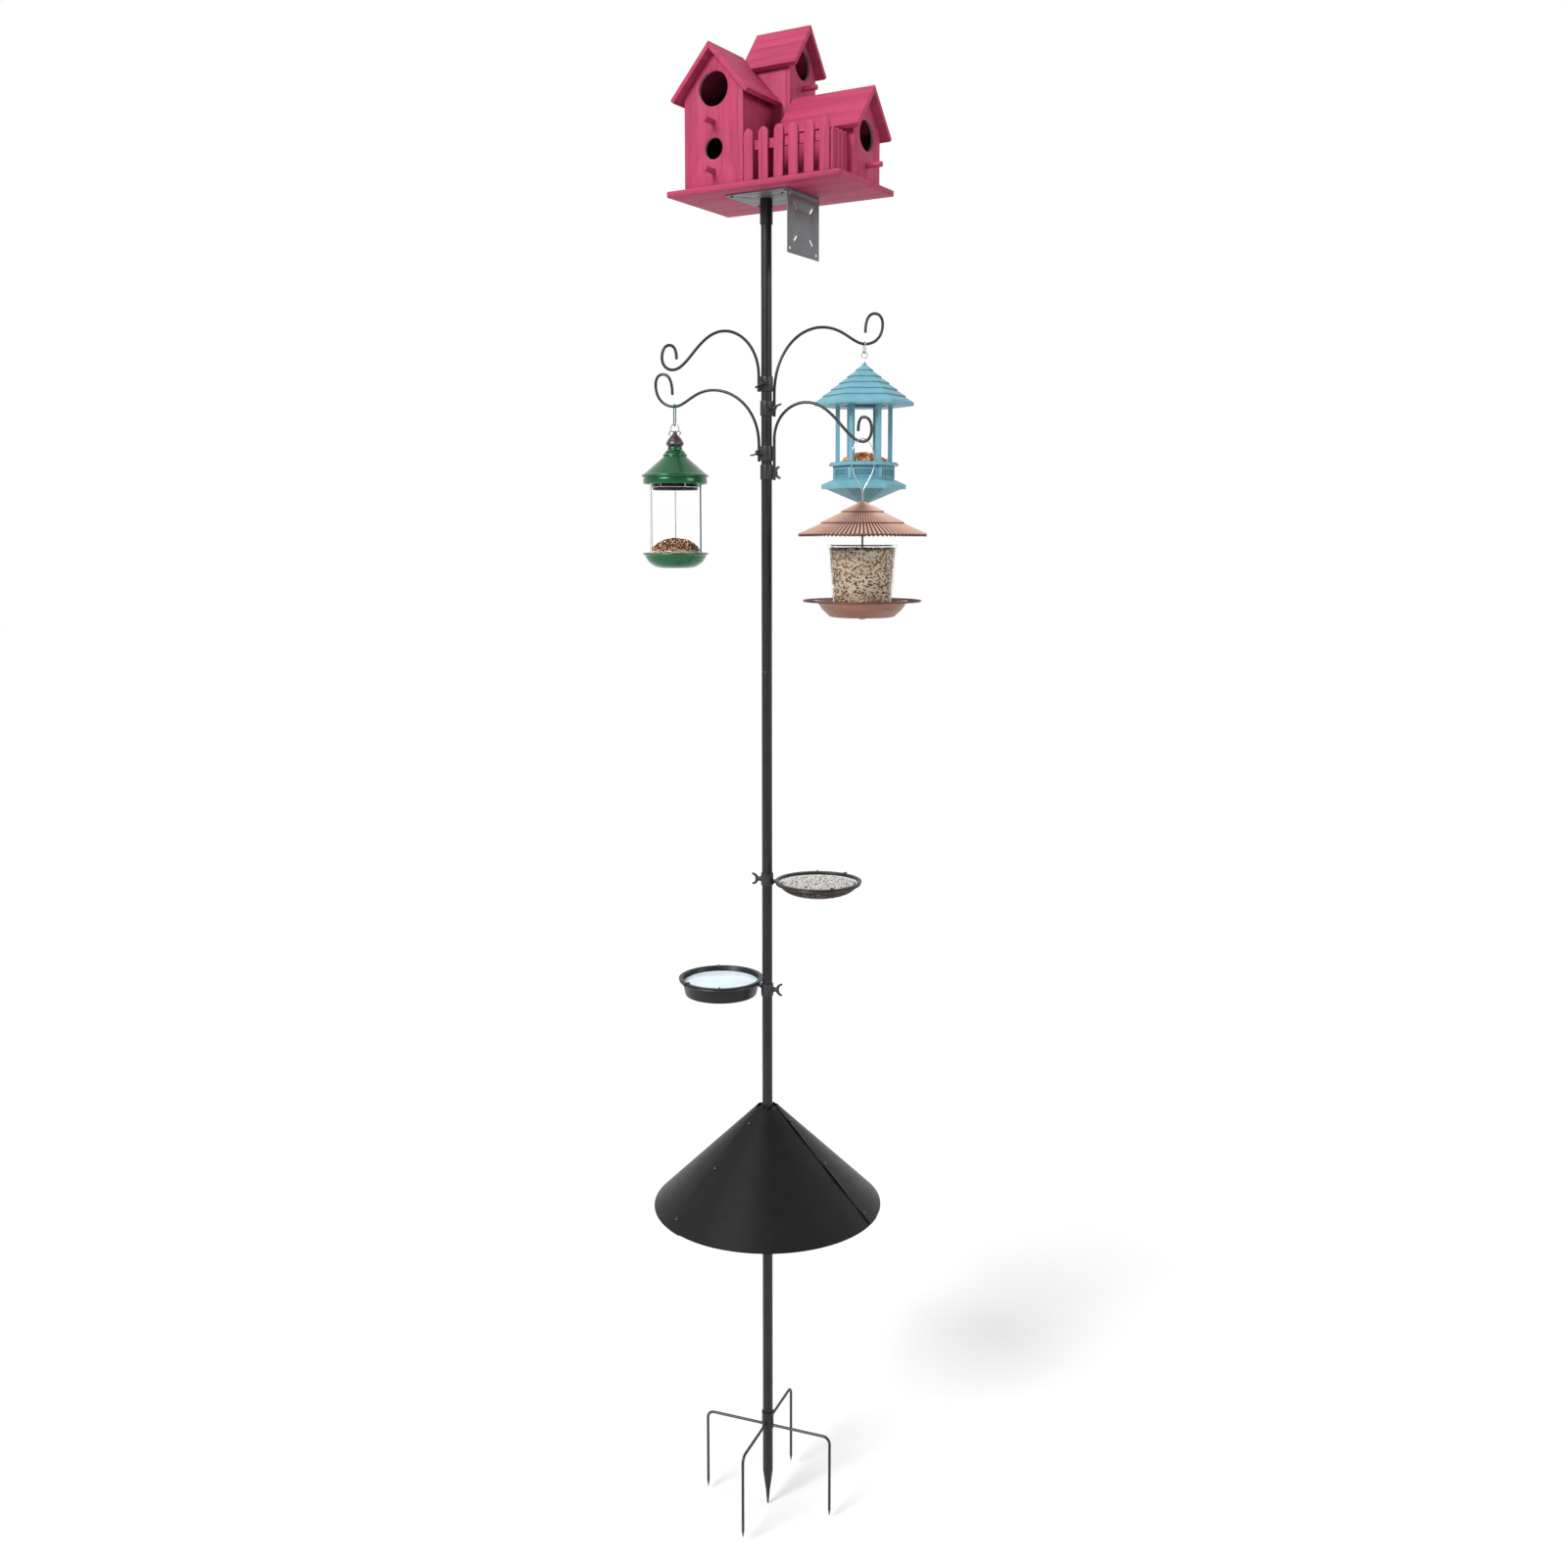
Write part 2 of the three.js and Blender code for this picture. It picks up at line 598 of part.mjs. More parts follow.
// A shallow round bowl under a flat lip, its rim's top at height 0.
function bowl(wall, depth, floorR, crown) {
  const neck = RING_R - RING_WIRE_R - 2 * GAP;
  const outer = [[0, -depth], [floorR, -depth]];
  const inner = [[neck - wall, -LIP_THICK], [floorR - wall, wall - depth], [0, wall - depth]];
  if (crown) {
    outer.push([(floorR + neck) / 2, -depth + crown], [neck, -LIP_THICK - 2]);
    inner.splice(1, 0, [(floorR + neck) / 2 - wall, wall - depth + crown]);
  }
  const lip = [[neck, -LIP_THICK], [LIP_R, -LIP_THICK], [LIP_R, 0], [neck - wall, 0]];
  return turned([...outer, ...lip, ...inner], ROUND_BODY);
}

function makeDish() {
  const collarZ = DISH_RIM_Z - DISH_COLLAR_DROP;
  const ringZ = DISH_RIM_Z - LIP_THICK - GAP - RING_WIRE_R;
  const turn = DISH_SCREW_AZIMUTH - DISH_AZIMUTH;
  const bracket = groupAt(station, { z: collarZ, turn: DISH_AZIMUTH });
  add(bracket, "water_dish_bracket", ringBracket(turn, ringZ - collarZ), wireBlack);
  addScrew(bracket, "water_dish_wing_screw", turn, WING_LEAN);
  const dish = bowl(DISH_WALL, DISH_DEPTH, DISH_FLOOR_R, 0);
  add(bracket, "water_dish", dish.translate(DISH_AXIS, 0, DISH_RIM_Z - collarZ), dishPlastic);
}

function makeTray() {
  const collarZ = TRAY_RIM_Z - TRAY_COLLAR_DROP;
  const ringZ = TRAY_RIM_Z - LIP_THICK - GAP - RING_WIRE_R;
  const turn = TRAY_SCREW_AZIMUTH - TRAY_AZIMUTH;
  const bracket = groupAt(station, { z: collarZ, turn: TRAY_AZIMUTH });
  add(bracket, "mesh_tray_bracket", ringBracket(turn, ringZ - collarZ), wireBlack);
  addScrew(bracket, "mesh_tray_wing_screw", turn, WING_LEAN);
  const tray = bowl(TRAY_WALL, TRAY_DEPTH, TRAY_FLOOR_R, TRAY_CROWN);
  add(bracket, "mesh_tray", tray.translate(DISH_AXIS, 0, TRAY_RIM_Z - collarZ), wireBlack);
}

// ---------------------------------------------------------------- shepherd hooks

const hookWireX = COLLAR_R + HOOK_WIRE_R + 2 * GAP; // clear of the other hooks' collars

// The wire runs up the collar's side, over the arm's crown, down to the saddle that the
// feeder hangs in, and round the curl that keeps it there.
function hookWire(h) {
  const half = HOOK_COLLAR / 2;
  const saddle = [h.saddleReach, h.saddleZ - h.collarZ];
  const apex = [h.apexReach, saddle[1] + h.apexRise];
  const far = [h.saddleReach + h.curlReach, saddle[1] + h.curlRise];
  const top = [h.saddleReach + h.topReach, saddle[1] + h.topRise];
  const tip = [h.saddleReach + h.tipReach, saddle[1] + h.tipRise];
  const start = [hookWireX, h.leaveZ - h.collarZ];
  const between = (a, b, share) => a + (b - a) * share;
  const points = bezierRun(
    [
      [
        start, [hookWireX, between(start[1], apex[1], 0.62)],
        [between(apex[0], hookWireX, 0.5), apex[1]], apex,
      ],
      [
        apex, [between(apex[0], saddle[0], 0.5), apex[1]],
        [between(saddle[0], apex[0], 0.3), saddle[1]], saddle,
      ],
      [saddle, [between(saddle[0], far[0], 0.6), saddle[1]], [far[0], between(far[1], saddle[1], 0.6)], far],
      [far, [far[0], between(far[1], top[1], 0.6)], [between(top[0], far[0], 0.6), top[1]], top],
      [top, [between(top[0], tip[0], 0.8), top[1]], [tip[0], between(tip[1], top[1], 0.5)], tip],
    ],
    6,
  );
  points.unshift(inPlaneXZ([hookWireX, -half]));
  return wire(points, HOOK_WIRE_R, 6);
}

function makeHooks() {
  for (const [name, h] of Object.entries(HOOKS)) {
    const group = groupAt(station, { z: h.collarZ, turn: h.azimuth });
    const reach = HOOK_COLLAR / 2 - 2;
    const bead = block(COLLAR_R - COLLAR_SINK, hookWireX, -HOOK_BEAD / 2, HOOK_BEAD / 2, -reach, reach);
    const whole = join(collarWithBoss(HOOK_COLLAR, h.screw), hookWire(h), bead);
    add(group, name, borePoleAndScrew(whole, HOOK_COLLAR, h.screw), wireBlack);
    addScrew(group, name.replace("hook", "wing_screw"), h.screw, h.lean);
  }
}

// ---------------------------------------------------------------- links and rings

// A group at a hook's saddle: X along the wire, Z up, the origin in the wire's centre.
function saddleOf(name) {
  const h = HOOKS[name];
  const angle = radians(h.azimuth);
  const x = h.saddleReach * Math.cos(angle);
  const y = h.saddleReach * Math.sin(angle);
  return groupAt(station, { x, y, z: h.saddleZ, turn: h.azimuth });
}

function stadium(halfWidth, top, bottom) {
  const path = new THREE.Shape();
  path.absarc(0, top - halfWidth, halfWidth, 0, Math.PI, false);
  path.absarc(0, bottom + halfWidth, halfWidth, Math.PI, 2 * Math.PI, false);
  path.closePath();
  return path;
}

// A long link round the hook's wire, square to it, reaching down to a given depth.
function longLink(depth) {
  const inner = HOOK_WIRE_R + LINK_CLEAR;
  const top = HOOK_WIRE_R + GAP;
  const shape = stadium(inner + LINK_WIRE, top + LINK_WIRE, -depth - LINK_WIRE);
  shape.holes.push(stadium(inner, top, -depth));
  return extruded(shape, LINK_WIRE)
    .translate(0, 0, -LINK_WIRE / 2)
    .rotateX(Math.PI / 2)
    .rotateZ(Math.PI / 2);
}

// Where a ring's middle hangs under a link's lower bar, so that it can swing freely.
function ringMiddle(depth, ringR, ringWire) {
  const barMiddle = depth + LINK_WIRE / 2;
  const barCorner = (LINK_WIRE / 2) * Math.SQRT2;
  return -(barMiddle + (ringR - ringWire) - barCorner - RING_CLEAR);
}

// ---------------------------------------------------------------- green lantern feeder

function makeGreenFeeder() {
  const g = GREEN;
  const saddle = saddleOf("hook_lower_left");
  add(saddle, "green_hanger", longLink(g.linkLength), brightWire);
  const middle = ringMiddle(g.linkLength, g.ringR, g.ringWire);
  add(saddle, "green_ring", torusXZ(g.ringR, g.ringWire, middle), brightWire);

  const ringLow = middle - g.ringR;
  const finial = turned(
    [
      [0, -g.finialBase], [g.neckR - 1, -g.finialBase], [g.finialR, -g.finialBase + 5],
      [g.finialR, -g.finialBase + 9], [g.finialR * 0.55, ringLow - 6], [g.bossR, ringLow - 4],
      [g.bossR, -g.finialTop], [0, -g.finialTop],
    ],
    12,
  );
  const eye = rodX(g.ringWire + 1.3, -g.bossR - 2, g.bossR + 2, 8).translate(0, 0, ringLow + 0.5);
  add(saddle, "green_finial", cut(finial, eye), finialMetal);

  const roof = turned(
    [
      [0, -g.finialBase - GAP - g.shell], [g.neckR - g.shell, -g.finialBase - GAP - g.shell],
      [g.neckR - g.shell, -g.neckBase], [g.flareR - g.shell, -g.flareBase - 1],
      [g.lipR - 6, -g.lipDepth], [g.bandR - g.shell, -g.lipDepth - 2], [g.bandR - g.shell, -g.bandBase],
      [g.bandR, -g.bandBase], [g.bandR, -g.lipDepth - g.lipThick], [g.lipR, -g.lipDepth - g.lipThick],
      [g.lipR, -g.lipDepth], [g.flareR, -g.flareBase], [g.flareR, -g.flareBase + 3],
      [g.neckR, -g.neckBase + 1], [g.neckR, -g.finialBase - GAP], [0, -g.finialBase - GAP],
    ],
    ROUND_BODY,
  );
  add(saddle, "green_roof", roof, greenMetal);

  const plateTop = -g.tubeTop + g.ringPlate + GAP;
  const plateR = g.bandR - g.shell - 2 * GAP - 0.4;
  const topRing = sleeve(plateR, g.tubeR - 6, plateTop - g.ringPlate, plateTop, ROUND_BODY);
  const bar = block(-g.tubeR, g.tubeR, -2.5, 2.5, plateTop - g.ringPlate, plateTop);
  const trayFloor = -g.trayRim - g.trayDepth + g.trayWall + g.trayFoot;
  const rods = [-1, 1].map((side) =>
    rodZ(g.rodR, -g.trayRim - g.rodSeat, plateTop - 1, 6).translate(side * g.rodOut, 0, 0),
  );
  const centre = rodZ(g.wireR, trayFloor + GAP, plateTop - 1, 6);
  add(saddle, "green_cage", join(topRing, bar, ...rods, centre), finialMetal);

  const tube = sleeve(g.tubeR, g.tubeR - g.tubeWall, -g.trayRim - g.seat, -g.tubeTop, ROUND_BODY);
  add(saddle, "green_tube", tube, clearPlastic);

  const low = -g.trayRim - g.trayDepth;
  const tray = turned(
    [
      [0, low], [g.trayFloorR, low],
      [g.trayR * 0.86, low + g.trayDepth * 0.42], [g.trayR - 3, -g.trayRim - 4],
      [g.trayR, -g.trayRim - 2], [g.trayR, -g.trayRim], [g.trayR - 4, -g.trayRim],
      [g.trayR - 6, -g.trayRim - 6], [g.rodOut - g.rodR - 1, -g.trayRim - 10.5],
      [g.tubeR - 4, -g.trayRim - 13], [g.trayFloorR - 4, trayFloor], [0, trayFloor],
    ],
    ROUND_BODY,
  );
  const sockets = [-1, 1].map((side) =>
    rodZ(g.rodR + GAP, -g.trayRim - g.rodSeat - GAP, -g.trayRim + 1, 6).translate(side * g.rodOut, 0, 0),
  );
  const [seatOuter, seatInner] = [g.tubeR + 2 * GAP, g.tubeR - g.tubeWall - 2 * GAP];
  const seat = sleeve(seatOuter, seatInner, -g.trayRim - g.seat - GAP, -g.trayRim, ROUND_BODY);
  add(saddle, "green_tray", cut(tray, seat, ...sockets), greenMetal);
}

// ---------------------------------------------------------------- blue gazebo feeder

function blueRoof() {
  const b = BLUE;
  const run = (b.roofR - 2) / b.tiers;
  const fall = (b.eave - b.apex) / b.tiers;
  const outer = [];
  for (let i = 0; i < b.tiers; i += 1) {
    const r = 2 + run * (i + 1);
    const z = -b.apex - fall * (i + 1);
    outer.push([r, z]);
    if (i < b.tiers - 1) outer.push([r - 0.4, z - b.lap]);
  }
  const bore = b.shankR + 0.8;
  return hexagonalRing([
    [bore, -b.apex - b.crown], [bore, -b.apex - 1], ...outer, [b.roofR, -b.eave - b.fascia],
    [b.roofR - b.roofWall, -b.eave - b.fascia], [b.roofR - b.roofWall, -b.eave - 2],
  ]);
}

function makeBlueFeeder() {
  const b = BLUE;
  const hook = "hook_upper_right";
  const saddle = saddleOf(hook);
  add(saddle, "blue_hanger_link", longLink(b.linkLength), brightWire);
  const middle = ringMiddle(b.linkLength, b.eyeR, b.eyeWire);
  const shank = rodZ(b.shankR, -b.apex - b.shankLength, middle - b.eyeR + 0.5, 8);
  add(saddle, "blue_eye", join(torusXZ(b.eyeR, b.eyeWire, middle), shank), brightWire);

  const body = groupAt(saddle, { turn: -HOOKS[hook].azimuth });
  add(body, "blue_roof", blueRoof(), blueWood);

  const soffitTop = -b.eave - b.fascia + b.soffit;
  const soffit = hexagonalRing([
    [b.soffitBore, soffitTop - b.soffit], [b.roofR - b.roofWall - 2 * GAP, soffitTop - b.soffit],
    [b.roofR - b.roofWall - 2 * GAP, soffitTop], [b.soffitBore, soffitTop],
  ]);
  const rail = hexagonalRing([
    [b.railInnerR, -b.railTop - b.railDepth], [b.railR, -b.railTop - b.railDepth],
    [b.railR, -b.railTop], [b.railInnerR, -b.railTop],
  ]);
  const posts = [0, 1, 2, 3, 4, 5].map((i) =>
    block(-b.post / 2, b.post / 2, -b.post / 2, b.post / 2, -b.railTop - WELD, soffitTop - WELD)
      .translate(b.postR - b.post / 2, 0, 0)
      .rotateZ(radians(i * 60)),
  );
  add(body, "blue_post_frame", join(soffit, rail, ...posts), blueWood);

  const bandTop = -b.railTop - b.railDepth - GAP;
  const tray = hexagonal([
    [0, -b.bandBase], [b.bandR, -b.bandBase], [b.bandR, bandTop], [b.bandR - b.bandWall, bandTop],
    [b.bandR - b.bandWall, -b.bandBase + b.bandWall], [0, -b.bandBase + b.bandWall],
  ]);
  add(body, "blue_tray", tray, blueWood);

  const base = hexagonal([
    [0, -b.tip], [b.skirtR - 12, -b.skirtBase - 1], [b.skirtR, -b.skirtBase], [b.skirtR, -b.skirtTop],
    [b.bandR + 1, -b.bandBase - GAP], [0, -b.bandBase - GAP],
  ]);
  add(body, "blue_base", base, blueWood);
}

// ---------------------------------------------------------------- copper feeder

function copperBail() {
  const c = COPPER;
  const top = HOOK_WIRE_R + GAP + c.bailWire + 1.5;
  const half = (side) => {
    const over = [-side * 0.8, top];
    const widest = [side * c.bailHalf, -c.bailWidest];
    const vertex = [0, -c.bailVertex - 2];
    return wire(
      bezierRun(
        [
          [over, [side * c.bailHalf * 0.75, top], [side * c.bailHalf, -c.bailWidest * 0.45], widest],
          [widest, [side * c.bailHalf, -c.bailWidest * 1.6], [side * 2, -c.bailVertex * 0.86], vertex],
        ],
        7,
      ),
      c.bailWire,
      6,
    );
  };
  const strand = rodZ(c.bailWire * 1.3, -c.apex - 4, -c.bailVertex + 3, 6);
  return join(half(-1), half(1), strand).rotateZ(radians(c.bailTurn));
}

function copperRoof() {
  const c = COPPER;
  const outer = [[c.apexBore, -c.apex]];
  const inner = [];
  c.tierR.forEach((r, i) => {
    outer.push([r, -c.tierZ[i]]);
    if (i < c.tierR.length - 1) outer.push([r - 0.6, -c.tierZ[i] - c.tierLap]);
    inner.unshift([r - 1.5, -c.tierZ[i] - c.tierLap - c.sheet]);
  });
  outer.push([c.tierR.at(-1), -c.tierZ.at(-1) - c.rim]);
  return turnedRing([...outer, ...inner, [c.apexBore, -c.apex - c.sheet]], ROUND_BODY);
}

function makeCopperFeeder() {
  const c = COPPER;
  const saddle = saddleOf("hook_lower_right");
  add(saddle, "copper_bail", copperBail(), brightWire);
  add(saddle, "copper_roof", copperRoof(), copperPaint);

  const floor = -c.trayBase + c.trayWall;
  const rodTop = -c.apex - 4 - GAP;
  const stopZ = -c.apex - c.sheet - 5;
  const nutTop = -c.trayBase - GAP;
  const rod = join(
    rodZ(c.rodR, nutTop - c.nutThick, rodTop, 8),
    turned([[0, stopZ - c.stopThick], [c.stopR, stopZ - c.stopThick], [c.rodR, stopZ], [0, stopZ]], 10),
    new THREE.SphereGeometry(c.knobR, 10, 8).translate(0, 0, -c.knobZ),
    rodZ(c.nutR, nutTop - c.nutThick, nutTop, 6),
  );
  add(saddle, "copper_rod", rod, finialMetal);

  const hopper = turnedRing(
    [
      [c.hopperBaseR - c.hopperWall, -c.hopperBase], [c.hopperBaseR, -c.hopperBase],
      [c.hopperTopR, -c.hopperTop], [c.hopperTopR - c.hopperWall, -c.hopperTop],
    ],
    ROUND_BODY,
  );
  const ports = [];
  for (let i = 0; i < c.ports; i += 1) {
    ports.push(
      block(
        c.hopperBaseR - 8, c.hopperBaseR + 6, -c.portWidth / 2, c.portWidth / 2,
        -c.hopperBase - 2, -c.hopperBase + c.portHeight,
      ).rotateZ(radians(45 + (i * 360) / c.ports)),
    );
  }
  add(saddle, "copper_hopper", cut(hopper, ...ports), clearPlastic);

  const dish = turnedRing(
    [
      [c.rodR + GAP, -c.trayBase], [c.trayFloorR, -c.trayBase], [c.trayR - 3, -c.trayLip - 5],
      [c.trayR, -c.trayLip - 2], [c.trayR, -c.trayLip], [c.trayR - 3, -c.trayLip],
      [c.trayR - 6, -c.trayLip - 4], [c.trayFloorR - 2, floor], [c.rodR + GAP, floor],
    ],
    ROUND_BODY,
  );
  const seat = -c.hopperBase - GAP;
  const well = sleeve(c.hopperBaseR + GAP, c.rodR + c.hub, seat, seat + c.portHeight, ROUND_BODY);
  const perch = new THREE.TorusGeometry(c.perchR, c.perchWire, 5, 28).translate(0, 0, -c.trayLip - 1);
  const arms = [];
  for (let i = 0; i < c.perchArms; i += 1) {
    arms.push(
      block(c.trayR - 3, c.perchR, -2.2, 2.2, -c.trayLip - 3, -c.trayLip - 0.6)
        .rotateZ(radians(25 + (i * 360) / c.perchArms)),
    );
  }
  add(saddle, "copper_tray", join(cut(dish, well), perch, ...arms), copperPaint);
}

// ---------------------------------------------------------------- socket and bracket

const plateZ = POLE_TOP_Z + SOCKET_OVER;
const boardZ = plateZ + PLATE + GAP;
const boardTop = boardZ + BOARD_THICK;

function plateOutline(width, height) {
  const shape = outline([[0, 0], [width, 0], [width, height], [0, height]]);
  for (const [right, up] of [[0, 0], [1, 0], [1, 1], [0, 1]]) {
    const inward = [right ? -1 : 1, up ? -1 : 1];
    const hole = new THREE.Path();
    hole.absarc(
      right * width + inward[0] * PLATE_HOLE_INSET, up * height + inward[1] * PLATE_HOLE_INSET,
      PLATE_HOLE_R, 0, 2 * Math.PI, true,
    );
    shape.holes.push(hole);
    const along = Math.atan2(inward[1], inward[0]);
    const middle = [right * width + inward[0] * SLOT_INSET, up * height + inward[1] * SLOT_INSET];
    const reach = (SLOT_LENGTH - SLOT_WIDTH) / 2;
    const ends = [1, -1].map((end) => [
      middle[0] + end * reach * Math.cos(along), middle[1] + end * reach * Math.sin(along),
    ]);
    const slot = new THREE.Path();
    slot.absarc(...ends[0], SLOT_WIDTH / 2, along - Math.PI / 2, along + Math.PI / 2, false);
    slot.absarc(...ends[1], SLOT_WIDTH / 2, along + Math.PI / 2, along + (3 * Math.PI) / 2, false);
    slot.closePath();
    shape.holes.push(slot);
  }
  return shape;
}

function makeBracket(house) {
  const socket = sleeve(collarBore + SOCKET_WALL, collarBore, SOCKET_Z, plateZ - GAP);
  add(house, "top_socket", socket, poleBlack);
  const right = PLATE_SHIFT + PLATE_U / 2;
  const flat = extruded(plateOutline(PLATE_U, PLATE_V), PLATE, 3)
    .translate(right - PLATE_U, -PLATE_V / 2, plateZ);
  const leg = extruded(plateOutline(PLATE_V, PLATE_DROP), PLATE, 3)
    .rotateX(Math.PI / 2)
    .rotateZ(Math.PI / 2)
    .translate(right - PLATE, -PLATE_V / 2, plateZ + PLATE - PLATE_DROP);
  add(house, "top_bracket", join(flat, leg), plateGrey);
}

// ---------------------------------------------------------------- birdhouse

function rise(h) {
  return Math.tan(radians(h.slope));
}

// How far a roof board's underside lies below its top, measured straight down.
function roofDepth(h) {
  return ROOF_BOARD / Math.cos(radians(h.slope));
}

// A gabled outline across the ridge: [across, w] points, from wall to wall.
function gable(middle, half, apex, slope, foot) {
  return [
    [middle - half, foot], [middle + half, foot], [middle + half, apex - half * slope],
    [middle, apex], [middle - half, apex - half * slope],
  ];
}

// One roof board's section, sloping down from the ridge to one side.
function roofSection(middle, side, h) {
  const start = middle + (side * GAP) / 2;
  const end = middle + side * h.halfSpan;
  const top = (x) => h.ridge - Math.abs(x - middle) * rise(h);
  const tilt = ROOF_BOARD * Math.sin(radians(h.slope));
  const lip = end - side * tilt;
  const points = [
    [start, top(start)], [end, top(end)], [lip, top(end) - ROOF_BOARD * Math.cos(radians(h.slope))],
    [start, top(start) - roofDepth(h)],
  ];
  return side > 0 ? points : points.reverse();
}

function wallApex(h) {
  return h.ridge - roofDepth(h) - 2 * GAP;
}

function makeTallHouse(house) {
  const t = TALL;
  const middle = (t.u0 + t.u1) / 2;
  const half = (t.u1 - t.u0) / 2;
  const outer = alongY(gable(middle, half, wallApex(t), rise(t), GAP), t.v0, t.v1);
  const inner = alongY(
    gable(middle, half - WALL, wallApex(t) - WALL / Math.cos(radians(t.slope)), rise(t), -1),
    t.v0 + WALL,
    t.v1 - WALL,
  );
  const bored = (r, w, sides) => rodY(r, t.v0 - 1, t.v0 + WALL + 1, sides).translate(middle, 0, w);
  const holes = t.holes.map(({ w, r }) => bored(r, w, DOOR_SIDES));
  const sockets = t.perches.map((w) => bored(DOWEL_R + GAP, w, DOWEL_SIDES));
  // The rear of this house's walls and roof is cut to clear the tower's eave.
  const w = TOWER;
  const towerMiddle = (w.v0 + w.v1) / 2;
  const clear = 2 * GAP;
  const eave = w.ridge - w.halfSpan * rise(w) - roofDepth(w);
  const notch = alongX(
    gable(towerMiddle, w.halfSpan + clear, w.ridge + clear, rise(w), eave),
    w.u0 - w.backhang - clear,
    w.u1 + w.overhang + clear,
  );
  add(house, "tall_house_walls", cut(outer, inner, notch, ...holes, ...sockets), pinkWood);
  t.perches.forEach((height, i) => {
    const dowel = rodY(DOWEL_R, t.v0 - DOWEL_OUT, t.v0 + DOWEL_IN, DOWEL_SIDES).translate(middle, 0, height);
    add(house, ["tall_house_perch_upper", "tall_house_perch_lower"][i], dowel, pinkWood);
  });
  [["tall_house_roof_left", -1], ["tall_house_roof_right", 1]].forEach(([name, side]) => {
    const board = alongY(roofSection(middle, side, t), t.v0 - t.overhang, t.v1);
    add(house, name, cut(board, notch), pinkWood);
  });
}

// The tower and the small house, whose ridges run along u, with the door on the +u side.
function makeSideHouse(house, name, h) {
  const middle = (h.v0 + h.v1) / 2;
  const half = (h.v1 - h.v0) / 2;
  const outer = alongX(gable(middle, half, wallApex(h), rise(h), GAP), h.u0, h.u1);
  const inner = alongX(
    gable(middle, half - WALL, wallApex(h) - WALL / Math.cos(radians(h.slope)), rise(h), -1),
    h.u0 + WALL,
    h.u1 - WALL,
  );
  const bored = (r, w, sides) => rodX(r, h.u1 - WALL - 1, h.u1 + 1, sides).translate(0, middle, w);
  const holes = h.holes.map(({ w, r }) => bored(r, w, DOOR_SIDES));
  const sockets = h.perches.map((w) => bored(DOWEL_R + GAP, w, DOWEL_SIDES));
  add(house, name + "_walls", cut(outer, inner, ...holes, ...sockets), pinkWood);
  h.perches.forEach((w) => {
    const dowel = rodX(DOWEL_R, h.u1 - DOWEL_IN, h.u1 + DOWEL_OUT, DOWEL_SIDES).translate(0, middle, w);
    add(house, name + "_perch", dowel, pinkWood);
  });
  [["_roof_front", -1], ["_roof_back", 1]].forEach(([end, side]) => {
    const board = alongX(roofSection(middle, side, h), h.u0 - h.backhang, h.u1 + h.overhang);
    add(house, name + end, board, pinkWood);
  });
}

function picket(width, height) {
  const f = FENCE;
  const shape = outline([
    [-width / 2, GAP], [width / 2, GAP], [width / 2, height - f.point], [width * 0.2, height],
    [-width * 0.2, height], [-width / 2, height - f.point],
  ]);
  return extruded(shape, f.thick).rotateX(Math.PI / 2).translate(0, f.thick, 0);
}

function makeFence(house) {
  const f = FENCE;
  const start = TALL.u1 + GAP;
  const railBack = f.v + 2 * f.thick;
  const [railLow, railHigh] = [f.railW, f.railW + f.railHeight];
  const pieces = [block(start, f.uEnd - f.thick, f.v + f.thick - WELD, railBack, railLow, railHigh)];
  for (let i = 0; i < f.pickets; i += 1) {
    pieces.push(picket(f.picket, f.height).translate(start + 2 + f.picket / 2 + i * f.pitch, f.v, 0));
  }
  const sideEnd = f.v + f.thick + f.sidePitch * f.sidePickets - 2;
  const inside = f.uEnd - f.thick;
  pieces.push(block(inside - f.thick, inside + WELD, f.v + f.thick - WELD, sideEnd, railLow, railHigh));
  for (let i = 0; i < f.sidePickets; i += 1) {
    pieces.push(
      picket(f.sidePicket, f.sideHeight)
        .rotateZ(Math.PI / 2)
        .translate(f.uEnd, f.v + f.thick + f.sidePicket / 2 + i * f.sidePitch, 0),
    );
  }
  add(house, "picket_fence", join(...pieces), pinkWood);
}

function makeHouse() {
  const turnedGroup = groupAt(station, { turn: HOUSE_TURN });
  makeBracket(turnedGroup);
  const board = new THREE.Group();
  board.position.set(BOARD_SHIFT_U - BOARD_U / 2, BOARD_SHIFT_V - BOARD_V / 2, boardTop);
  turnedGroup.add(board);
  add(board, "base_board", block(0, BOARD_U, 0, BOARD_V, -BOARD_THICK, 0), pinkWood);
  makeTallHouse(board);
  makeSideHouse(board, "tower", TOWER);
  makeSideHouse(board, "small_house", SMALL);
  makeFence(board);
}

// ---------------------------------------------------------------- assembly

makeStake();
makeProngs();
makePole();
makeBaffle();
makeDish();
makeTray();
makeHooks();
makeGreenFeeder();
makeBlueFeeder();
makeCopperFeeder();
makeHouse();

export default station;
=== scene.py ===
"""The looks of a garden bird feeding station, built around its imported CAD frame.

Sizes are in millimetres, heights are above the ground unless a comment says otherwise, and
azimuths are in degrees from +X. Blender's own units are metres, so MM turns one into the other.
"""
import math
import random

import bmesh
import bpy
from mathutils import Matrix, Vector


